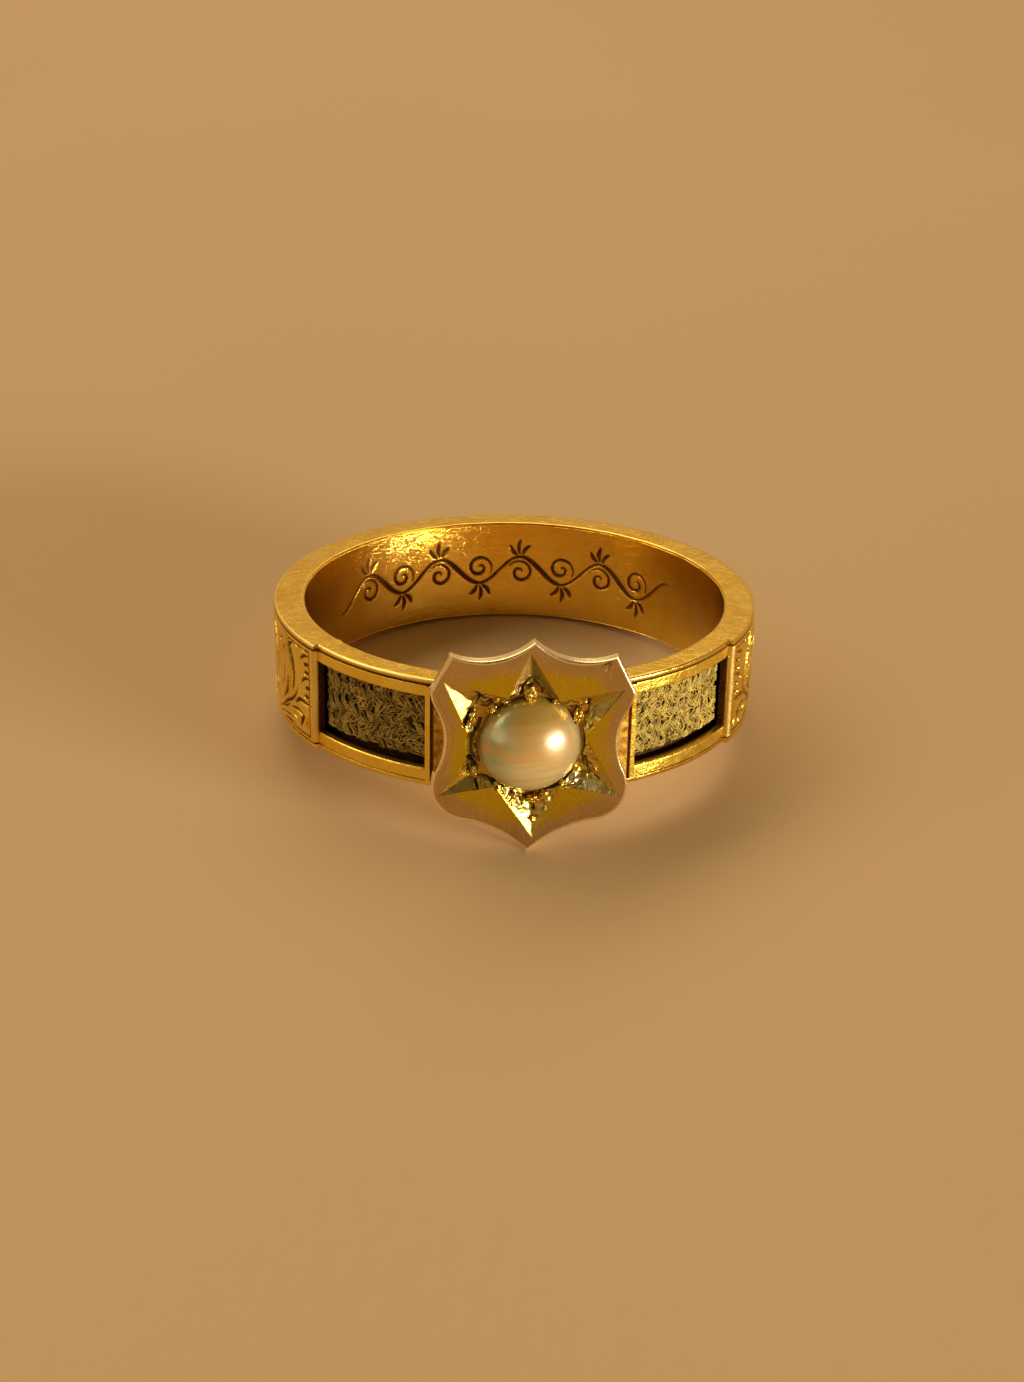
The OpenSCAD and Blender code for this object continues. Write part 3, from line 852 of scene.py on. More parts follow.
def panel_strokes(length):
    """The listed strokes at both ends of a panel, and a pair of volutes with a fan between them."""
    strokes = []
    for points, half, deep, peak in PANEL_STROKES:
        for line in (points, [(length - s, z) for s, z in points]):
            strokes.append(swelling(line, STROKE_WIDER * half, STROKE_DEEPER * deep, peak))
    mid = length / 2
    strokes.append(volute((mid - 0.05, 0.72), 0.95, 1.5, 200, 0.10, 0.09, -1))
    strokes.append(volute((mid + 0.05, -0.78), 0.90, 1.4, 20, 0.09, 0.08, -1))
    for k in range(9):
        a = math.radians(-80 + 20 * k)
        root = (mid - 0.05 + 1.12 * math.sin(a), 0.62 + 1.0 * math.cos(a) * 0.9)
        end = (mid - 0.05 + 1.45 * math.sin(a + 0.12), min(1.78, 0.62 + 1.36 * math.cos(a + 0.12) * 0.9))
        bend = ((root[0] + end[0]) / 2, (root[1] + end[1]) / 2 + 0.02)
        strokes.append(swelling([root, bend, end], 0.06, 0.06, 0.5, 5))
        opposite = [(2 * mid - root[0], -root[1]), (2 * mid - end[0], -end[1])]
        strokes.append(swelling(opposite, 0.055, 0.055, 0.5, 5))
    return strokes


def panel_mesh(side):
    """One engraved panel with its two ridges; side is -1 for the left panel."""
    ridge = arc_deg(RIDGE_W, PANEL_R)
    length = math.radians(PANEL_END - WINDOW_END - 2 * ridge) * PANEL_R
    line_half = COVER_HALF - BORDER_INSET
    near_end = (-RIDGE_W, 0, BORDER_INSET, BORDER_INSET + BORDER_W)
    edge_s = [v for d in near_end for v in (d, length - d)]
    edge_z = [sign * v for sign in (-1, 1) for v in (COVER_HALF, line_half, line_half - BORDER_W)]
    s = lines_between(-RIDGE_W, length + RIDGE_W, PANEL_STEP, edge_s)
    z = lines_between(-COVER_HALF, COVER_HALF, PANEL_STEP, edge_z)
    gs, gz = s[:, None], np.abs(z)[None, :]
    end_s = np.minimum(gs, length - gs)
    outer = np.full((len(s), len(z)), PANEL_R) + RIDGE_RAISE * smooth_step(-end_s / RIDGE_RAMP)
    inside_s = smooth_step((end_s - BORDER_INSET) / BORDER_SOFT)
    inside_z = smooth_step((line_half - gz) / BORDER_SOFT)
    line_in_s = inside_s * smooth_step((BORDER_INSET + BORDER_W - end_s) / BORDER_SOFT)
    line_in_z = smooth_step((gz - line_half + BORDER_W) / BORDER_SOFT) * inside_z
    border = np.maximum(line_in_s * inside_z, line_in_z * inside_s)
    depth, lips = np.zeros(outer.shape), np.zeros(outer.shape)
    for stroke in panel_strokes(length):
        stamp(depth, s, z, stroke)
        stamp(lips, s, z, stroke * [1, 1, LIP_SPREAD, 1])
    depth *= smooth_step((end_s - 0.02) / 0.03) * smooth_step((line_half - BORDER_W - gz + 0.03) / 0.03)
    # Darkening: dirt in the cut strokes and the border line, painted shade with dirt in the upper seam, and
    # painted shade on the end walls beyond the ridges and on the inside faces.
    grime = np.maximum(0.8 * smooth_step((depth - 0.012) / 0.05), 0.55 * border)
    grime = np.maximum(grime, seam_shade_and_dirt(z[None, :]))
    grime = np.maximum(grime, 0.95 * (end_s < 0.001 - RIDGE_W))
    outer += LIP_RAISE * lips * (1 - smooth_step(depth / 0.01)) * (end_s > 0.05)
    outer -= np.maximum(depth, BORDER_DEEPER * BORDER_D * border)
    outer -= edge_drop(COVER_HALF - gz)
    outer -= 1.6 * edge_drop(end_s + RIDGE_W, RIDGE_ROUND)
    angles = side * (WINDOW_END + ridge + np.degrees(s / PANEL_R))
    angles, outer, grime, end_s = angles[::side], outer[::side], grime[::side], end_s[::side]
    skin = ring_points(angles[:, None], outer, z[None, :])
    knocks = 0.010 * np.abs(noise(skin, 0.35, 33)) * smooth_step(0.6 - 4 * end_s)
    outer = outer + (0.004 * noise(skin, 1.3, 31) + 0.002 * noise(skin, 0.3, 32)) - knocks
    # Painted highlight: a gleam along each ridge, and a fainter one just inside the border line at the ends.
    edge = 1.3 * np.exp(-((end_s - GLEAM_S) / GLEAM_HALF) ** 2)
    edge += 0.3 * np.exp(-((end_s - BORDER_INSET + 0.02) / 0.03) ** 2)
    return slab(angles, z, outer, COVER_IN_R, grime=(grime, 0.98), edge=(edge, 0))


def back_mesh():
    """The plain back of the cover, between the two panels."""
    angles = np.arange(PANEL_END, 360 - PANEL_END + 0.5, BACK_STEP)
    angles[-1] = 360 - PANEL_END
    z = lines_between(-COVER_HALF, COVER_HALF, BACK_ROWS_STEP, [-COVER_HALF, COVER_HALF])
    outer = PANEL_R - edge_drop(COVER_HALF - np.abs(z))[None, :] + np.zeros((len(angles), 1))
    skin = ring_points(angles[:, None], outer, z[None, :])
    outer += 0.005 * noise(skin, 2.0, 41) + 0.002 * noise(skin, 0.5, 42)
    return slab(angles, z, outer, COVER_IN_R, grime=(0, 0))


def add_cover():
    add_piece("cover_front_gold", front_mesh(), COVER_GOLD, "cover_band")
    for side, word in ((-1, "left"), (1, "right")):
        add_piece(f"panel_{word}_gold", panel_mesh(side), COVER_GOLD, "cover_band", crease=50)
    add_piece("cover_back_gold", back_mesh(), COVER_GOLD, "cover_band")


# Bezel

PLATE_STEP = 0.75
CUT_ROWS = 37
FLAT_ROWS = 28
POCKET_ROWS = (0.02, 0.7, 1.4, 1.78, 1.86, POCKET_R - 0.015, POCKET_R)
# Close rows on both sides of the star's outer edge, and the room kept inside that edge
CUT_OFFSETS = (-0.035, -0.018, -0.007, 0, 0.007, 0.018, 0.035)
CUT_MARGIN = 0.04
# The pearl's flat seat, and the deeper groove round it
SEAT_R = 1.8
MOAT_DEPTH = 0.46
# Chewed metal beside the pearl: how far out it goes, how much farther about one heading, and its depth
CHEW_END = 3.0
CHEW_MORE = 0.2
CHEW_HEADING = -100
CHEW_DEPTH = 0.05
WORN_CORNER = (2.75, 3.45)
# Line scribed inside the plate's left edge: distance from the edge, half width and depth
SCRIBE_INSET = 0.27
SCRIBE_HALF = 0.05
SCRIBE_DEPTH = 0.014
# Headings whose facets get the brightest painted highlight
LIT_HEADINGS = (104, -44)


def on_shield(across, along):
    return np.array([across * SHIELD_W / 2, along * (SHIELD_DOWN if along < 0 else SHIELD_UP)])


def bowed(p, q, bow, steps=14):
    """Points from p up to q, without q, on an arc that bows to the left of the way."""
    if bow == 0:
        return [p]
    chord = np.linalg.norm(q - p)
    r = (chord ** 2 / 4 + bow ** 2) / (2 * abs(bow))
    way = (q - p) / chord
    left = np.array([-way[1], way[0]])
    sign = 1 if bow > 0 else -1
    mid = (p + q) / 2 + left * (bow - sign * r)
    half = math.asin(chord / (2 * r))
    turns = np.linspace(-half, half, steps, endpoint=False)
    return [mid + r * (way * math.sin(t) + left * sign * math.cos(t)) for t in turns]


def shield_outline():
    """The outline's points, clockwise from the upper tip, and its corners."""
    right = []
    for (x0, y0, bow), (x1, y1, _) in zip(SHIELD_TABLE[:-1], SHIELD_TABLE[1:]):
        right += bowed(on_shield(x0, y0), on_shield(x1, y1), bow * SHIELD_W / 2)
    tip = on_shield(0, -1)
    left = [p * [-1, 1] for p in right[:0:-1]]
    corners = [on_shield(x, y) for x, y, _ in SHIELD_TABLE]
    corners += [c * [-1, 1] for c in corners[1:-1]]
    return np.array(right + [tip] + left), corners


def heading(p):
    return math.degrees(math.atan2(p[1] - PEARL_MID[1], p[0] - PEARL_MID[0]))


def from_pearl(angle, reach):
    a = math.radians(angle)
    return PEARL_MID + reach * np.array([math.cos(a), math.sin(a)])


def turned(angle, base):
    """The turn from base to angle, from -180 to 180."""
    return (angle - base + 540) % 360 - 180


def reach_along(way, a, b):
    """Distance from the pearl's middle along a direction to the line through a and b."""
    edge = b - a
    gap = a - PEARL_MID
    return (gap[0] * edge[1] - gap[1] * edge[0]) / (way[0] * edge[1] - way[1] * edge[0])


def outline_reach(heads, ways, lines):
    """For each heading, the farthest crossing with the lines."""
    out = []
    for head, way in zip(heads, ways):
        best = 0
        for a, b in lines:
            turns = (turned(heading(a), head), turned(heading(b), head))
            if min(turns) <= 1e-4 and max(turns) >= -1e-4 and abs(turns[0] - turns[1]) < 170:
                best = max(best, reach_along(way, a, b))
        out.append(best)
    return np.array(out)


def facet_depth(p, tip, side, deep):
    """Depth of the plane through a ray's tip, one of its corners and the deep point between its corners."""
    e1, e2 = side - tip, deep - tip
    q = p - tip
    share = (e1[0] * q[..., 1] - e1[1] * q[..., 0]) / (e1[0] * e2[1] - e1[1] * e2[0])
    return share * STAR_DEPTH


def gouge_depth(p):
    """Depth of the graver's slips at points of the plate, each with a sharp bottom."""
    depth = np.zeros(p.shape[:-1])
    for line, half, deep in GOUGES:
        for a, b in zip(np.array(line[:-1]), np.array(line[1:])):
            way = b - a
            t = np.clip(((p - a) @ way) / (way @ way), 0, 1)
            off = np.linalg.norm(p - a - t[..., None] * way, axis=-1)
            depth = np.maximum(depth, deep * np.clip(1 - off / half, 0, 1))
    return depth


def star_depth(p, heads, tips, sides):
    """Depth of the star's rays, with worn edges."""
    depth = np.zeros(p.shape[:-1])
    for tip, (left, right) in zip(tips, sides):
        deep = (left + right) / 2
        near = np.abs(turned(heads[:, None], heading(tip))) < 75
        both = np.minimum(facet_depth(p, tip, left, deep), facet_depth(p, tip, right, deep))
        depth = np.where(near, np.maximum(depth, both), depth)
    worn = 0.5 * (depth + np.sqrt(depth ** 2 + 0.01 ** 2)) - 0.005
    return np.minimum(np.where(depth > 0, worn, 0), STAR_DEPTH)


def plate_columns(tips, sides):
    """Headings of the plate's columns round the pearl's middle, their directions, and how far the rim and the
    star reach in each."""
    outline, corners = shield_outline()
    stops = sorted({round(heading(p) % 360, 4) for p in corners + tips + [q for pair in sides for q in pair]})
    heads = []
    for a, b in zip(stops, stops[1:] + [stops[0] + 360]):
        heads += list(np.linspace(a, b, max(1, math.ceil((b - a) / PLATE_STEP)), endpoint=False))
    heads = np.array(heads)
    ways = np.column_stack([np.cos(np.radians(heads)), np.sin(np.radians(heads))])
    rim = outline_reach(heads, ways, list(zip(outline, np.roll(outline, -1, 0))))
    star = [(tip, corner) for tip, pair in zip(tips, sides) for corner in pair]
    star.append((sides[4][1], sides[5][0]))
    cut = np.clip(outline_reach(heads, ways, star), POCKET_R + CUT_MARGIN, rim - 0.2)
    return heads, ways, rim, cut


def plate_depth(p, flat, reach, heads, rim, star):
    """Depth below the plate's face: the star and its chewed bottom, the graver's slips, wear and the pocket.
    It also gives the depth of the slips alone."""
    chewed_to = CHEW_END + CHEW_MORE * np.exp(-(turned(heads, CHEW_HEADING) / 25) ** 2)
    by_pearl = smooth_step((chewed_to[:, None] - reach) / 0.7)
    chew = CHEW_DEPTH * np.abs(noise(flat, 0.42, 55)) + 0.004 * noise(flat, 0.16, 56)
    depth = star + smooth_step(star / 0.03) * by_pearl * chew
    gouges = gouge_depth(p)
    depth = np.maximum(depth, gouges + depth * 0.6 * (gouges > 0))
    worn_corner = np.exp(-(np.linalg.norm(p - WORN_CORNER, axis=-1) / 0.35) ** 2)
    depth += 0.03 * worn_corner * np.abs(noise(flat, 0.16, 57))
    inset = rim[:, None] - reach
    on_left = smooth_step((turned(heads, 180) + 38) / 10) * smooth_step((35 - turned(heads, 180)) / 10)
    depth += SCRIBE_DEPTH * np.exp(-((inset - SCRIBE_INSET) / SCRIBE_HALF) ** 2) * on_left[:, None]
    worn_rim = smooth_step((0.34 - inset) / 0.2)
    depth += 0.004 * worn_rim + 0.0035 * noise(flat, 1.5, 52) + 0.0012 * noise(flat, 0.4, 53)
    depth = np.where(reach < POCKET_R - 0.001, MOAT_DEPTH, depth)
    return np.where(reach < SEAT_R, POCKET_DEPTH, depth), gouges


def plate_mesh():
    """The shield plate: columns turn round the pearl's middle, rows go outwards, round the edge and back."""
    tips = [on_shield(*ray["tip"]) for ray in RAYS]
    sides = [(from_pearl(*ray["left"]), from_pearl(*ray["right"])) for ray in RAYS]
    heads, ways, rim, cut = plate_columns(tips, sides)
    reach = [np.full_like(rim, r) for r in POCKET_ROWS]
    reach += [POCKET_R + (cut - CUT_MARGIN - POCKET_R) * t for t in np.linspace(0, 1, CUT_ROWS)[1:-1]]
    reach += [cut + d for d in CUT_OFFSETS]
    reach += [cut + 0.05 + (rim - PLATE_BEVEL - cut - 0.05) * t for t in np.linspace(0, 1, FLAT_ROWS)]
    reach = np.maximum.accumulate(np.stack(reach, 1), 1)
    p = PEARL_MID + reach[..., None] * ways[:, None, :]
    flat = np.concatenate([p, np.zeros(p.shape[:-1] + (1,))], -1)
    star = star_depth(p, heads, tips, sides)
    facet = smooth_step(star / 0.03)
    depth, gouges = plate_depth(p, flat, reach, heads, rim, star)

    # Darkening: dirt with painted shade in the deep cuts near the pearl and in the graver's slips.
    dirt_and_shade = 0.95 * smooth_step((depth - 0.20) / 0.22) * smooth_step((2.8 - reach) / 0.5)
    dirt_and_shade = np.maximum(dirt_and_shade, 0.9 * smooth_step(gouges / 0.16))
    # Painted shade: the facets just clockwise of the top ray are darkened.
    beside_top = turned(heads, heading(tips[0]))[:, None]
    dirt_and_shade = np.maximum(dirt_and_shade, 0.55 * facet * (beside_top < 0) * (beside_top > -40))
    # Painted shade in the gap round the pearl.
    dirt_and_shade = np.where(reach < POCKET_R + 0.02, 1.0, dirt_and_shade)
    patina_end = 0.5 * rim[:, None] + 1.55 + 0.10 * noise(flat, 1.5, 54)
    field = np.maximum(smooth_step((patina_end - reach) / 0.6), facet)
    # Painted highlight: facets about LIT_HEADINGS are brightened, and the bevel, side and back fully.
    lit = sum(np.exp(-(turned(heads, middle) / 9) ** 4) for middle in LIT_HEADINGS)
    shine = (0.2 + 0.45 * lit[:, None]) * facet
    shine[:, -1] = 1

    edge = []
    for t in np.linspace(0, math.pi / 2, 6)[1:]:
        edge.append((rim - PLATE_BEVEL * (1 - math.sin(t)), PLATE_FRONT - PLATE_BEVEL * (1 - math.cos(t))))
    for share in (0.33, 0.66, 1):
        edge.append((rim, PLATE_FRONT - PLATE_BEVEL - (PLATE_T - PLATE_BEVEL - 0.03) * share))
    edge += [(rim * share - 0.03, PLATE_BACK) for share in (1, 0.7, 0.35)]
    edge.append((rim * 0 + 0.05, PLATE_BACK))
    reach = np.column_stack([reach] + [r for r, _ in edge])
    out = np.column_stack([PLATE_FRONT - depth] + [np.full(len(heads), w) for _, w in edge])
    p = PEARL_MID + reach[..., None] * ways[:, None, :]
    points = head_points(p[..., 0], p[..., 1], out).reshape(-1, 3)
    shades = {"grime": (dirt_and_shade, 0), "field": (field, 0), "shine": (shine, 1)}
    for key, (on_face, beyond) in shades.items():
        shades[key] = np.column_stack([on_face, np.full((len(heads), len(edge)), beyond)])
    return points, ribbon(len(heads), reach.shape[1]), shades


def ribbon(columns, width):
    """Faces of closed columns of `width` points, with a cap at each end."""
    first = [c * width for c in range(columns)]
    last = [c * width + width - 1 for c in range(columns)]
    return quads(columns, width, width_closes=False) + [first, last[::-1]]


def collet_mesh():
    """The wall under the plate, from the bridge out to the plate's back."""
    outline, _ = shield_outline()
    levels = [(COLLET_SHARE, RAIL_R + 0.02), (COLLET_SHARE, PLATE_BACK - 0.05),
              (COLLET_SHARE + 0.02, PLATE_BACK + 0.1)]
    points = np.vstack([head_points(outline[:, 0] * k, outline[:, 1] * k, w) for k, w in levels])
    n = len(outline)
    faces = quads(len(levels), n, loops_close=False)
    faces.append(list(range(n))[::-1])
    faces.append([(len(levels) - 1) * n + i for i in range(n)])
    radius = np.hypot(points[:, 0], points[:, 1])
    low = radius < RAIL_R + SEAM
    points[low, :2] *= ((RAIL_R + SEAM) / radius[low])[:, None]
    # The collet is darkened all over: painted shade under the plate.
    return points, faces, {"grime": np.full(len(points), 0.3)}


def lump(mid, radii, seed, rough, rows, columns):
    """A hand-worked bead in the plate's axes: mid and radii are (across, along, out)."""
    unit = np.vstack([dome_points(np.linspace(0, np.pi, rows)[1:-1], columns), [0, 0, -1]])
    swell = 1 + rough * noise(unit, 0.9, seed) + 0.35 * rough * noise(unit, 0.35, seed + 1)
    points = head_points(*(unit * swell[:, None] * radii + mid).T)
    base = 1 + (rows - 3) * columns
    under = [[len(points) - 1, base + (i + 1) % columns, base + i] for i in range(columns)]
    return points, dome_faces(rows - 2, columns) + under


def join(parts):
    points, faces, start = [], [], 0
    for p, f in parts:
        points.append(p)
        faces += [[v + start for v in face] for face in f]
        start += len(p)
    return np.vstack(points), faces


def beads_mesh():
    parts = []
    for i, (across, along, wide, long, high) in enumerate(BEADS):
        size = (22, 34) if wide > 0.15 else (14, 22)
        middle = (across, along, PLATE_FRONT - 0.6 * high - 0.06)
        parts.append(lump(middle, (wide, long, high), 62 + 3 * i, 0.22, *size))
    points, faces = join(parts)
    out = -points[:, 1] - PLATE_FRONT
    # The beads darken towards their base: painted shade where they sink into the cut.
    return points, faces, {"grime": 0.8 * smooth_step((-0.10 - out) / 0.12)}


def pearl_mesh():
    rows, columns = 43, 120
    unit = dome_points(np.linspace(0, np.pi / 2, rows + 1)[1:], columns)
    swell = 1 - 0.006 + 0.006 * noise(unit, 1.3, 71)
    q = unit * swell[:, None] * [PEARL_W / 2, PEARL_L / 2, PEARL_H]
    q[:, :2] += PEARL_MID - PEARL_LEAN * unit[:, 2:]
    q[:, 2] += PEARL_BASE
    base = 1 + (rows - 1) * columns
    return head_points(*q.T), dome_faces(rows, columns) + [[base + i for i in range(columns)][::-1]], {}


def add_bezel():
    add_piece("shield_plate_gold", plate_mesh(), PLATE_GOLD, "cover_band", crease=24)
    add_piece("collet_gold", collet_mesh(), COVER_GOLD, "cover_band")
    add_piece("beads_gold", beads_mesh(), GRAIN_GOLD, "cover_band", crease=60)
    add_piece("half_pearl_nacre", pearl_mesh(), NACRE, "half_pearl", crease=60)


# Hair plait

PLAIT_GAP = 0.03
PLAIT_TUCK = 0.06
PLAIT_SLACK = 0.24
HAIR_R = 0.036
CURL_R = 0.026
HAIR_SIDES = 5
STRAND_STEP = 0.06
WEAVE_SWING = 0.11
# Share of a step across a strand that goes along each axis, as the strands slant by 45 degrees
SLANT = 0.71
BED_T = 0.14
CORNER_HAIRS = 7

# The plait's two halves: gap at its outer end, distance between strands, hairs in a strand, how far hairs
# wander, range of the strands' tones, how dark its depths are (painted shade), number of curls that stand
# out, their radius, and their turn in degrees. The left half's darker tones and depths are painted shade, and
# the right half's lighter tones painted light.
PLAITS = [
    {"side": -1, "word": "left", "short": 0.06, "gap": 0.46, "hairs": 5, "wander": 0.07, "tones": (0.1, 0.65),
     "deep": 1.0, "curls": 150, "curl_r": (0.12, 0.30), "curl_turn": (80, 200)},
    {"side": 1, "word": "right", "short": 0.16, "gap": 0.36, "hairs": 5, "wander": 0.08, "tones": (0.3, 0.95),
     "deep": 0.75, "curls": 330, "curl_r": (0.12, 0.4), "curl_turn": (25, 90)},
]


def tubes(paths, radii):
    """Closed tubes along paths (F, P, 3) in (arc, height, radius) coordinates, with end caps."""
    count, steps, _ = paths.shape
    way = np.gradient(paths, axis=1)
    way /= np.linalg.norm(way, axis=2)[..., None] + 1e-12
    side = np.cross(way, np.array([0.0, 0.0, 1.0]))
    side /= np.linalg.norm(side, axis=2)[..., None] + 1e-12
    rise = np.cross(side, way)
    turn = np.linspace(0, 2 * np.pi, HAIR_SIDES, endpoint=False)[None, None, :, None]
    ring = np.cos(turn) * side[:, :, None, :] + np.sin(turn) * rise[:, :, None, :]
    points = paths[:, :, None, :] + ring * radii[:, None, None, None]
    faces = []
    for f in range(count):
        start = f * steps * HAIR_SIDES
        end = start + (steps - 1) * HAIR_SIDES
        faces += quads(steps, HAIR_SIDES, loops_close=False, start=start, flip=True)
        faces.append(list(range(start, start + HAIR_SIDES)))
        faces.append(list(range(end, end + HAIR_SIDES))[::-1])
    return points.reshape(-1, 3), faces


def woven_paths(half, low, high, in_r, out_r, far, rng):
    """Paths and tones of the hairs. Their strands run to and fro across the plait, each over one crossing and
    under the next."""
    width = high - low - 2 * HAIR_R
    per_way = int(round(width / half["gap"]))
    gap = width / per_way
    steps = int(far / STRAND_STEP)
    s = np.linspace(0.0, far, steps)
    seed = 80 + half["side"]
    paths, shades = [], []
    for k in range(2 * per_way):
        along = np.column_stack([s, np.full(steps, k * 3.1), np.zeros(steps)])
        travel = (s + k * width / per_way) % (2 * width)
        going_up = travel < width
        fold = np.where(going_up, travel, 2 * width - travel)
        drift = 1.6 * half["wander"] * noise(along, 0.8, seed + 2)
        over = np.sin(np.pi * fold / gap) * np.where(going_up, 1, -1)
        level = (in_r + out_r) / 2 + 0.02 + WEAVE_SWING * over
        pinch = 0.6 + 0.4 * np.abs(np.sin(np.pi * fold / gap))
        tone = rng.uniform(*half["tones"])
        for h in range(half["hairs"]):
            place_in = (h - (half["hairs"] - 1) / 2) / half["hairs"]
            spread = 0.75 * gap * place_in * pinch
            wander = half["wander"] * noise(along + [0, h * 0.9 + k, 0], 0.42, seed + 4)
            sway = np.where(going_up, -1, 1) * spread * SLANT
            sway = np.convolve(np.pad(sway, 3, mode="edge"), np.ones(7) / 7, "valid")
            z = np.clip(low + HAIR_R + fold + drift + wander + spread * SLANT, low + HAIR_R, high - HAIR_R)
            crown = 0.05 * math.cos(math.pi * place_in)
            r = np.clip(level + crown + 0.3 * wander, in_r + HAIR_R, out_r - HAIR_R - 0.02)
            paths.append(np.column_stack([s + sway + 0.5 * drift, z, r]))
            shades.append(np.clip(tone + rng.uniform(-0.3, 0.3), 0, 1))
    paths = np.array(paths)
    paths[..., 0] = np.clip(paths[..., 0], 0.0, far)
    return paths, shades


def curl_paths(half, low, high, out_r, far, rng, steps=15):
    """Paths of single hairs that stand out: short curls, and straighter ones in the lower inner corner."""
    t = np.linspace(-0.5, 0.5, steps)
    start = math.radians(WINDOW_START) * out_r
    paths = []
    for _ in range(half["curls"]):
        mid = (rng.uniform(start, far - 0.1), rng.uniform(low + 0.1, high - 0.1))
        r = rng.uniform(*half["curl_r"])
        sweep = math.radians(rng.uniform(*half["curl_turn"])) * t
        turn = math.radians(rng.choice([45, 135, 225, 315]) + rng.uniform(-25, 25))
        arc = mid[0] + r * (np.cos(turn + sweep) - math.cos(turn))
        z = mid[1] + r * (np.sin(turn + sweep) - math.sin(turn))
        paths.append(np.column_stack([arc, z, out_r - CURL_R - rng.uniform(0, 0.04) - 0.3 * t ** 2]))
    for i in range(CORNER_HAIRS):
        arc = start - 0.15 + (t + 0.5) * rng.uniform(0.9, 1.5)
        z = low + 0.06 + 0.065 * i + 0.04 * np.sin(3 * arc + i) + 0.05 * i * (t + 0.5)
        paths.append(np.column_stack([arc, z, out_r - CURL_R - 0.02 - 0.12 * (t + 0.5) ** 2]))
    paths = np.array(paths)
    paths[..., 0] = np.clip(paths[..., 0], 0.0, far)
    paths[..., 1] = np.clip(paths[..., 1], low + CURL_R, high - CURL_R)
    return paths


def plait_half(half, low, high, in_r, out_r, far):
    """One half of the plait, from the bezel's middle to its end."""
    rng = np.random.default_rng(80 + half["side"])
    woven, shades = woven_paths(half, low, high, in_r, out_r, far, rng)
    curls = curl_paths(half, low, high, out_r, far, rng)
    points, faces = join([tubes(woven, HAIR_R * rng.uniform(0.8, 1.0, len(woven))),
                          tubes(curls, CURL_R * rng.uniform(0.7, 1.0, len(curls)))])
    # The curls get lighter tones than the strands: partly painted highlight on the hairs that stand out.
    strand = np.concatenate([np.repeat(shades, woven.shape[1] * HAIR_SIDES),
                             np.repeat(rng.uniform(0.6, 1.3, len(curls)), curls.shape[1] * HAIR_SIDES)])
    angle = half["side"] * np.degrees(points[:, 0] / out_r)
    height, r = np.clip(points[:, 1], low, high), np.clip(points[:, 2], in_r, out_r)
    # Painted shade: the hair darkens towards the bottom of the channel.
    deep = half["deep"] * smooth_step(((in_r + out_r) / 2 + 0.04 - r) / 0.16)
    faces = [f[::half["side"]] for f in faces]
    return ring_points(angle, r, height), faces, {"strand": strand, "deep": deep}


def shade_bed_mesh(half, low, high, in_r, out_r, far):
    """A dark sheet of dense hair that closes the plait under its strands: painted shade between the strands.
    """
    angles = half["side"] * np.degrees(np.linspace(0, far - 0.1, 90) / out_r)
    rows = np.linspace(low + 0.05, high, 6)
    outer = np.full((len(angles), len(rows)), in_r + BED_T)
    return slab(angles[::half["side"]], rows, outer, in_r, strand=(0.3, 0.3), deep=(0.7, 0.7))


def add_plait():
    out_r = COVER_IN_R - PLAIT_GAP
    for half in PLAITS:
        far = math.radians(WINDOW_END) * out_r - half["short"]
        room = (half, PLAIT_SLACK - WINDOW_HALF, WINDOW_HALF + PLAIT_TUCK, CHANNEL_R + PLAIT_GAP, out_r, far)
        add_piece(f"hair_plait_{half['word']}", plait_half(*room), HAIR, "hair_plait", crease=80)
        add_piece(f"hair_shade_bed_{half['word']}", shade_bed_mesh(*room), HAIR, "hair_plait")


# Stage

BACKDROP_WAY = (0.0, 0.97, -0.15)
BACKDROP_GLOW = (0.52, 0.345, 0.15, 1)
ROOM_GLOW = (0.12, 0.085, 0.04, 1)
FLOOR_HALF = 1.5


def put(thing, right, up, back, spot):
    """Stands a camera or a light at a spot in metres, with its three axes."""
    pose = Matrix.Identity(4)
    for column, axis in enumerate((right, up, back, spot)):
        for row in range(3):
            pose[row][column] = axis[row]
    thing.matrix_world = pose
    bpy.context.scene.collection.objects.link(thing)


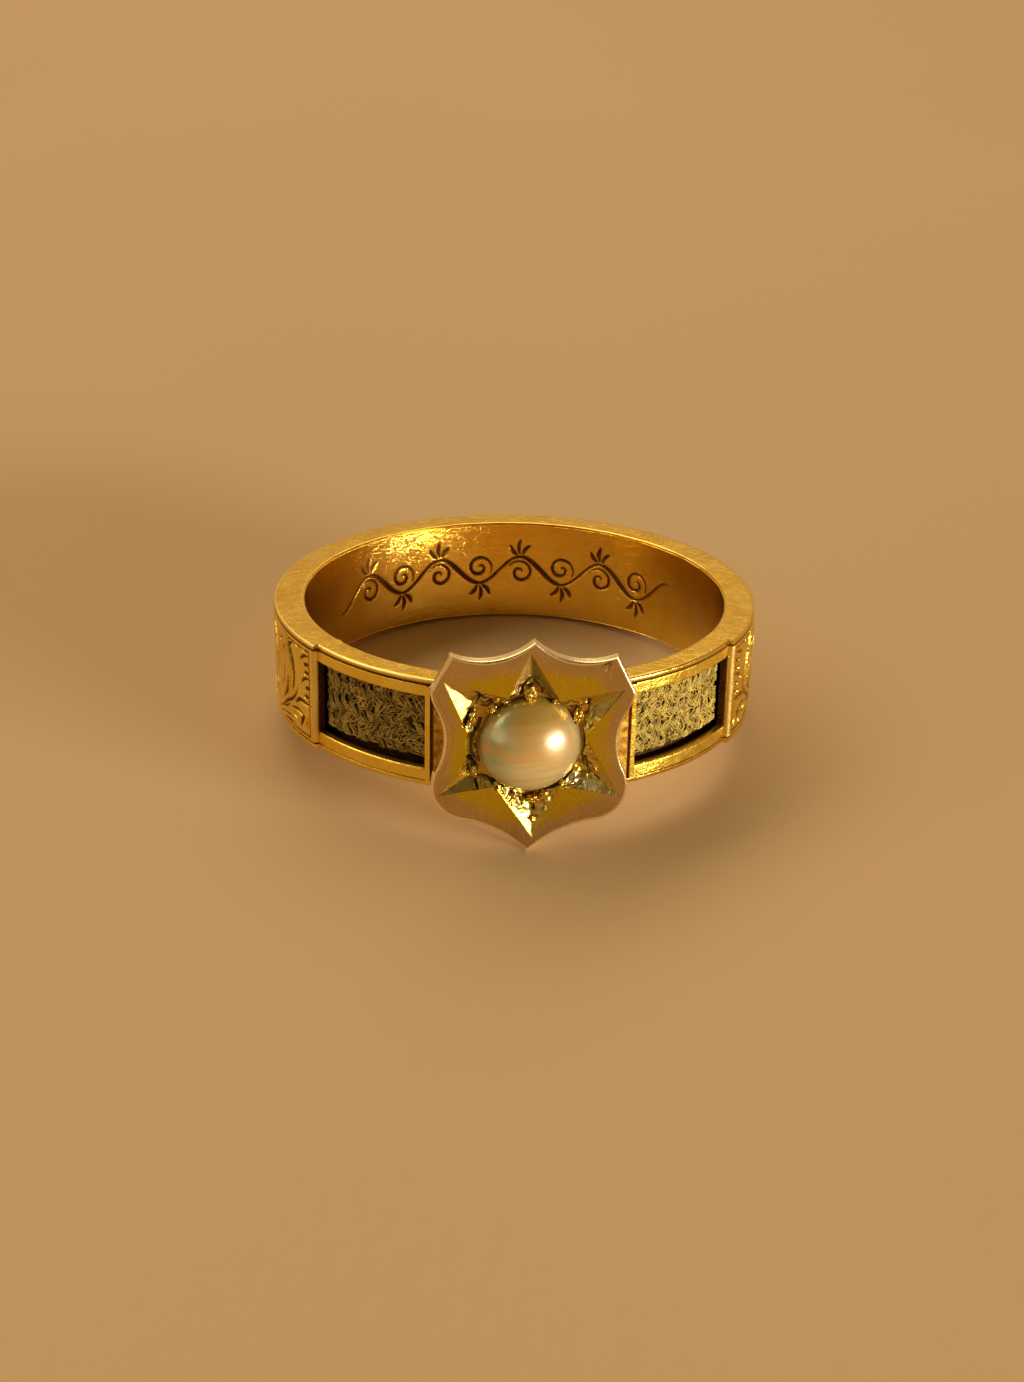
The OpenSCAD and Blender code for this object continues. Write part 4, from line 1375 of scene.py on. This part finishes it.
def add_camera():
    turn, rise, roll = (math.radians(v) for v in (CAMERA_TURN, CAMERA_RISE, CAMERA_ROLL))
    back = np.array([math.sin(turn) * math.cos(rise), -math.cos(turn) * math.cos(rise), math.sin(rise)])
    right = np.array([math.cos(turn), math.sin(turn), 0])
    up = np.cross(back, right)
    right, up = math.cos(roll) * right + math.sin(roll) * up, math.cos(roll) * up - math.sin(roll) * right
    spot = CAMERA_FAR * back + CAMERA_ASIDE * right + CAMERA_LOWER * up
    right, up, back, spot = at_rest(np.array([right, up, back, spot]))
    data = bpy.data.cameras.new("camera")
    data.sensor_fit = "VERTICAL"
    data.angle = 2 * math.atan(PICTURE_HIGH / 2 / FOCAL_PIXELS)
    data.clip_start = 0.002
    data.clip_end = 10
    camera = bpy.data.objects.new("camera", data)
    put(camera, right / MM, up / MM, back / MM, spot)
    bpy.context.scene.camera = camera


def add_floor():
    mesh = bpy.data.meshes.new("floor")
    sides = ((-1, -1), (1, -1), (1, 1), (-1, 1))
    mesh.from_pydata([(x * FLOOR_HALF, y * FLOOR_HALF, CAD_BOX[0].z) for x, y in sides], [], [[0, 1, 2, 3]])
    mesh.materials.append(floor_material())
    floor = bpy.data.objects.new("floor", mesh)
    bpy.context.scene.collection.objects.link(floor)


def add_light(name, azimuth, elevation, far, wide, high, radiance, colour):
    """A soft box: azimuth in degrees from the front towards +X, distance and sizes in millimetres."""
    data = bpy.data.lights.new(name, "AREA")
    data.shape = "RECTANGLE"
    data.size = wide * MM
    data.size_y = high * MM
    data.energy = radiance * math.pi * wide * high * MM * MM
    data.color = colour
    a, e = math.radians(azimuth), math.radians(elevation)
    way = np.array([math.sin(a) * math.cos(e), -math.cos(a) * math.cos(e), math.sin(e)])
    right = np.array([math.cos(a), math.sin(a), 0])
    put(bpy.data.objects.new(name, data), right, np.cross(way, right), way, way * far * MM)


def add_world():
    """A pale backdrop glows behind the ring, and the room is dim above it and on the camera's side."""
    s = Shader(bpy.data.worlds.new("studio"))
    way = s.node("TexCoord", output="Generated")
    toward = s.node("VectorMath", {0: way, 1: BACKDROP_WAY}, output="Value", operation="DOT_PRODUCT")
    share = s.remap(toward, -0.5, 0.85, interpolation_type="SMOOTHSTEP")
    bpy.context.scene.world = s.finish("Background", Color=s.mix(share, ROOM_GLOW, BACKDROP_GLOW))


def add_lights():
    add_light("window", -142, 50, 600, 1150, 270, 2.7, (1.0, 0.84, 0.56))
    add_light("key", 53, 9, 600, 230, 60, 90, (1.0, 0.92, 0.76))
    add_light("fill", -70, 24, 600, 500, 260, 0.9, (1.0, 0.84, 0.60))
    view = bpy.context.scene.view_settings
    view.view_transform = "Standard"
    view.look = "None"


add_camera()
add_floor()
add_world()
add_lights()
add_sleeve()
add_cover()
add_bezel()
add_plait()
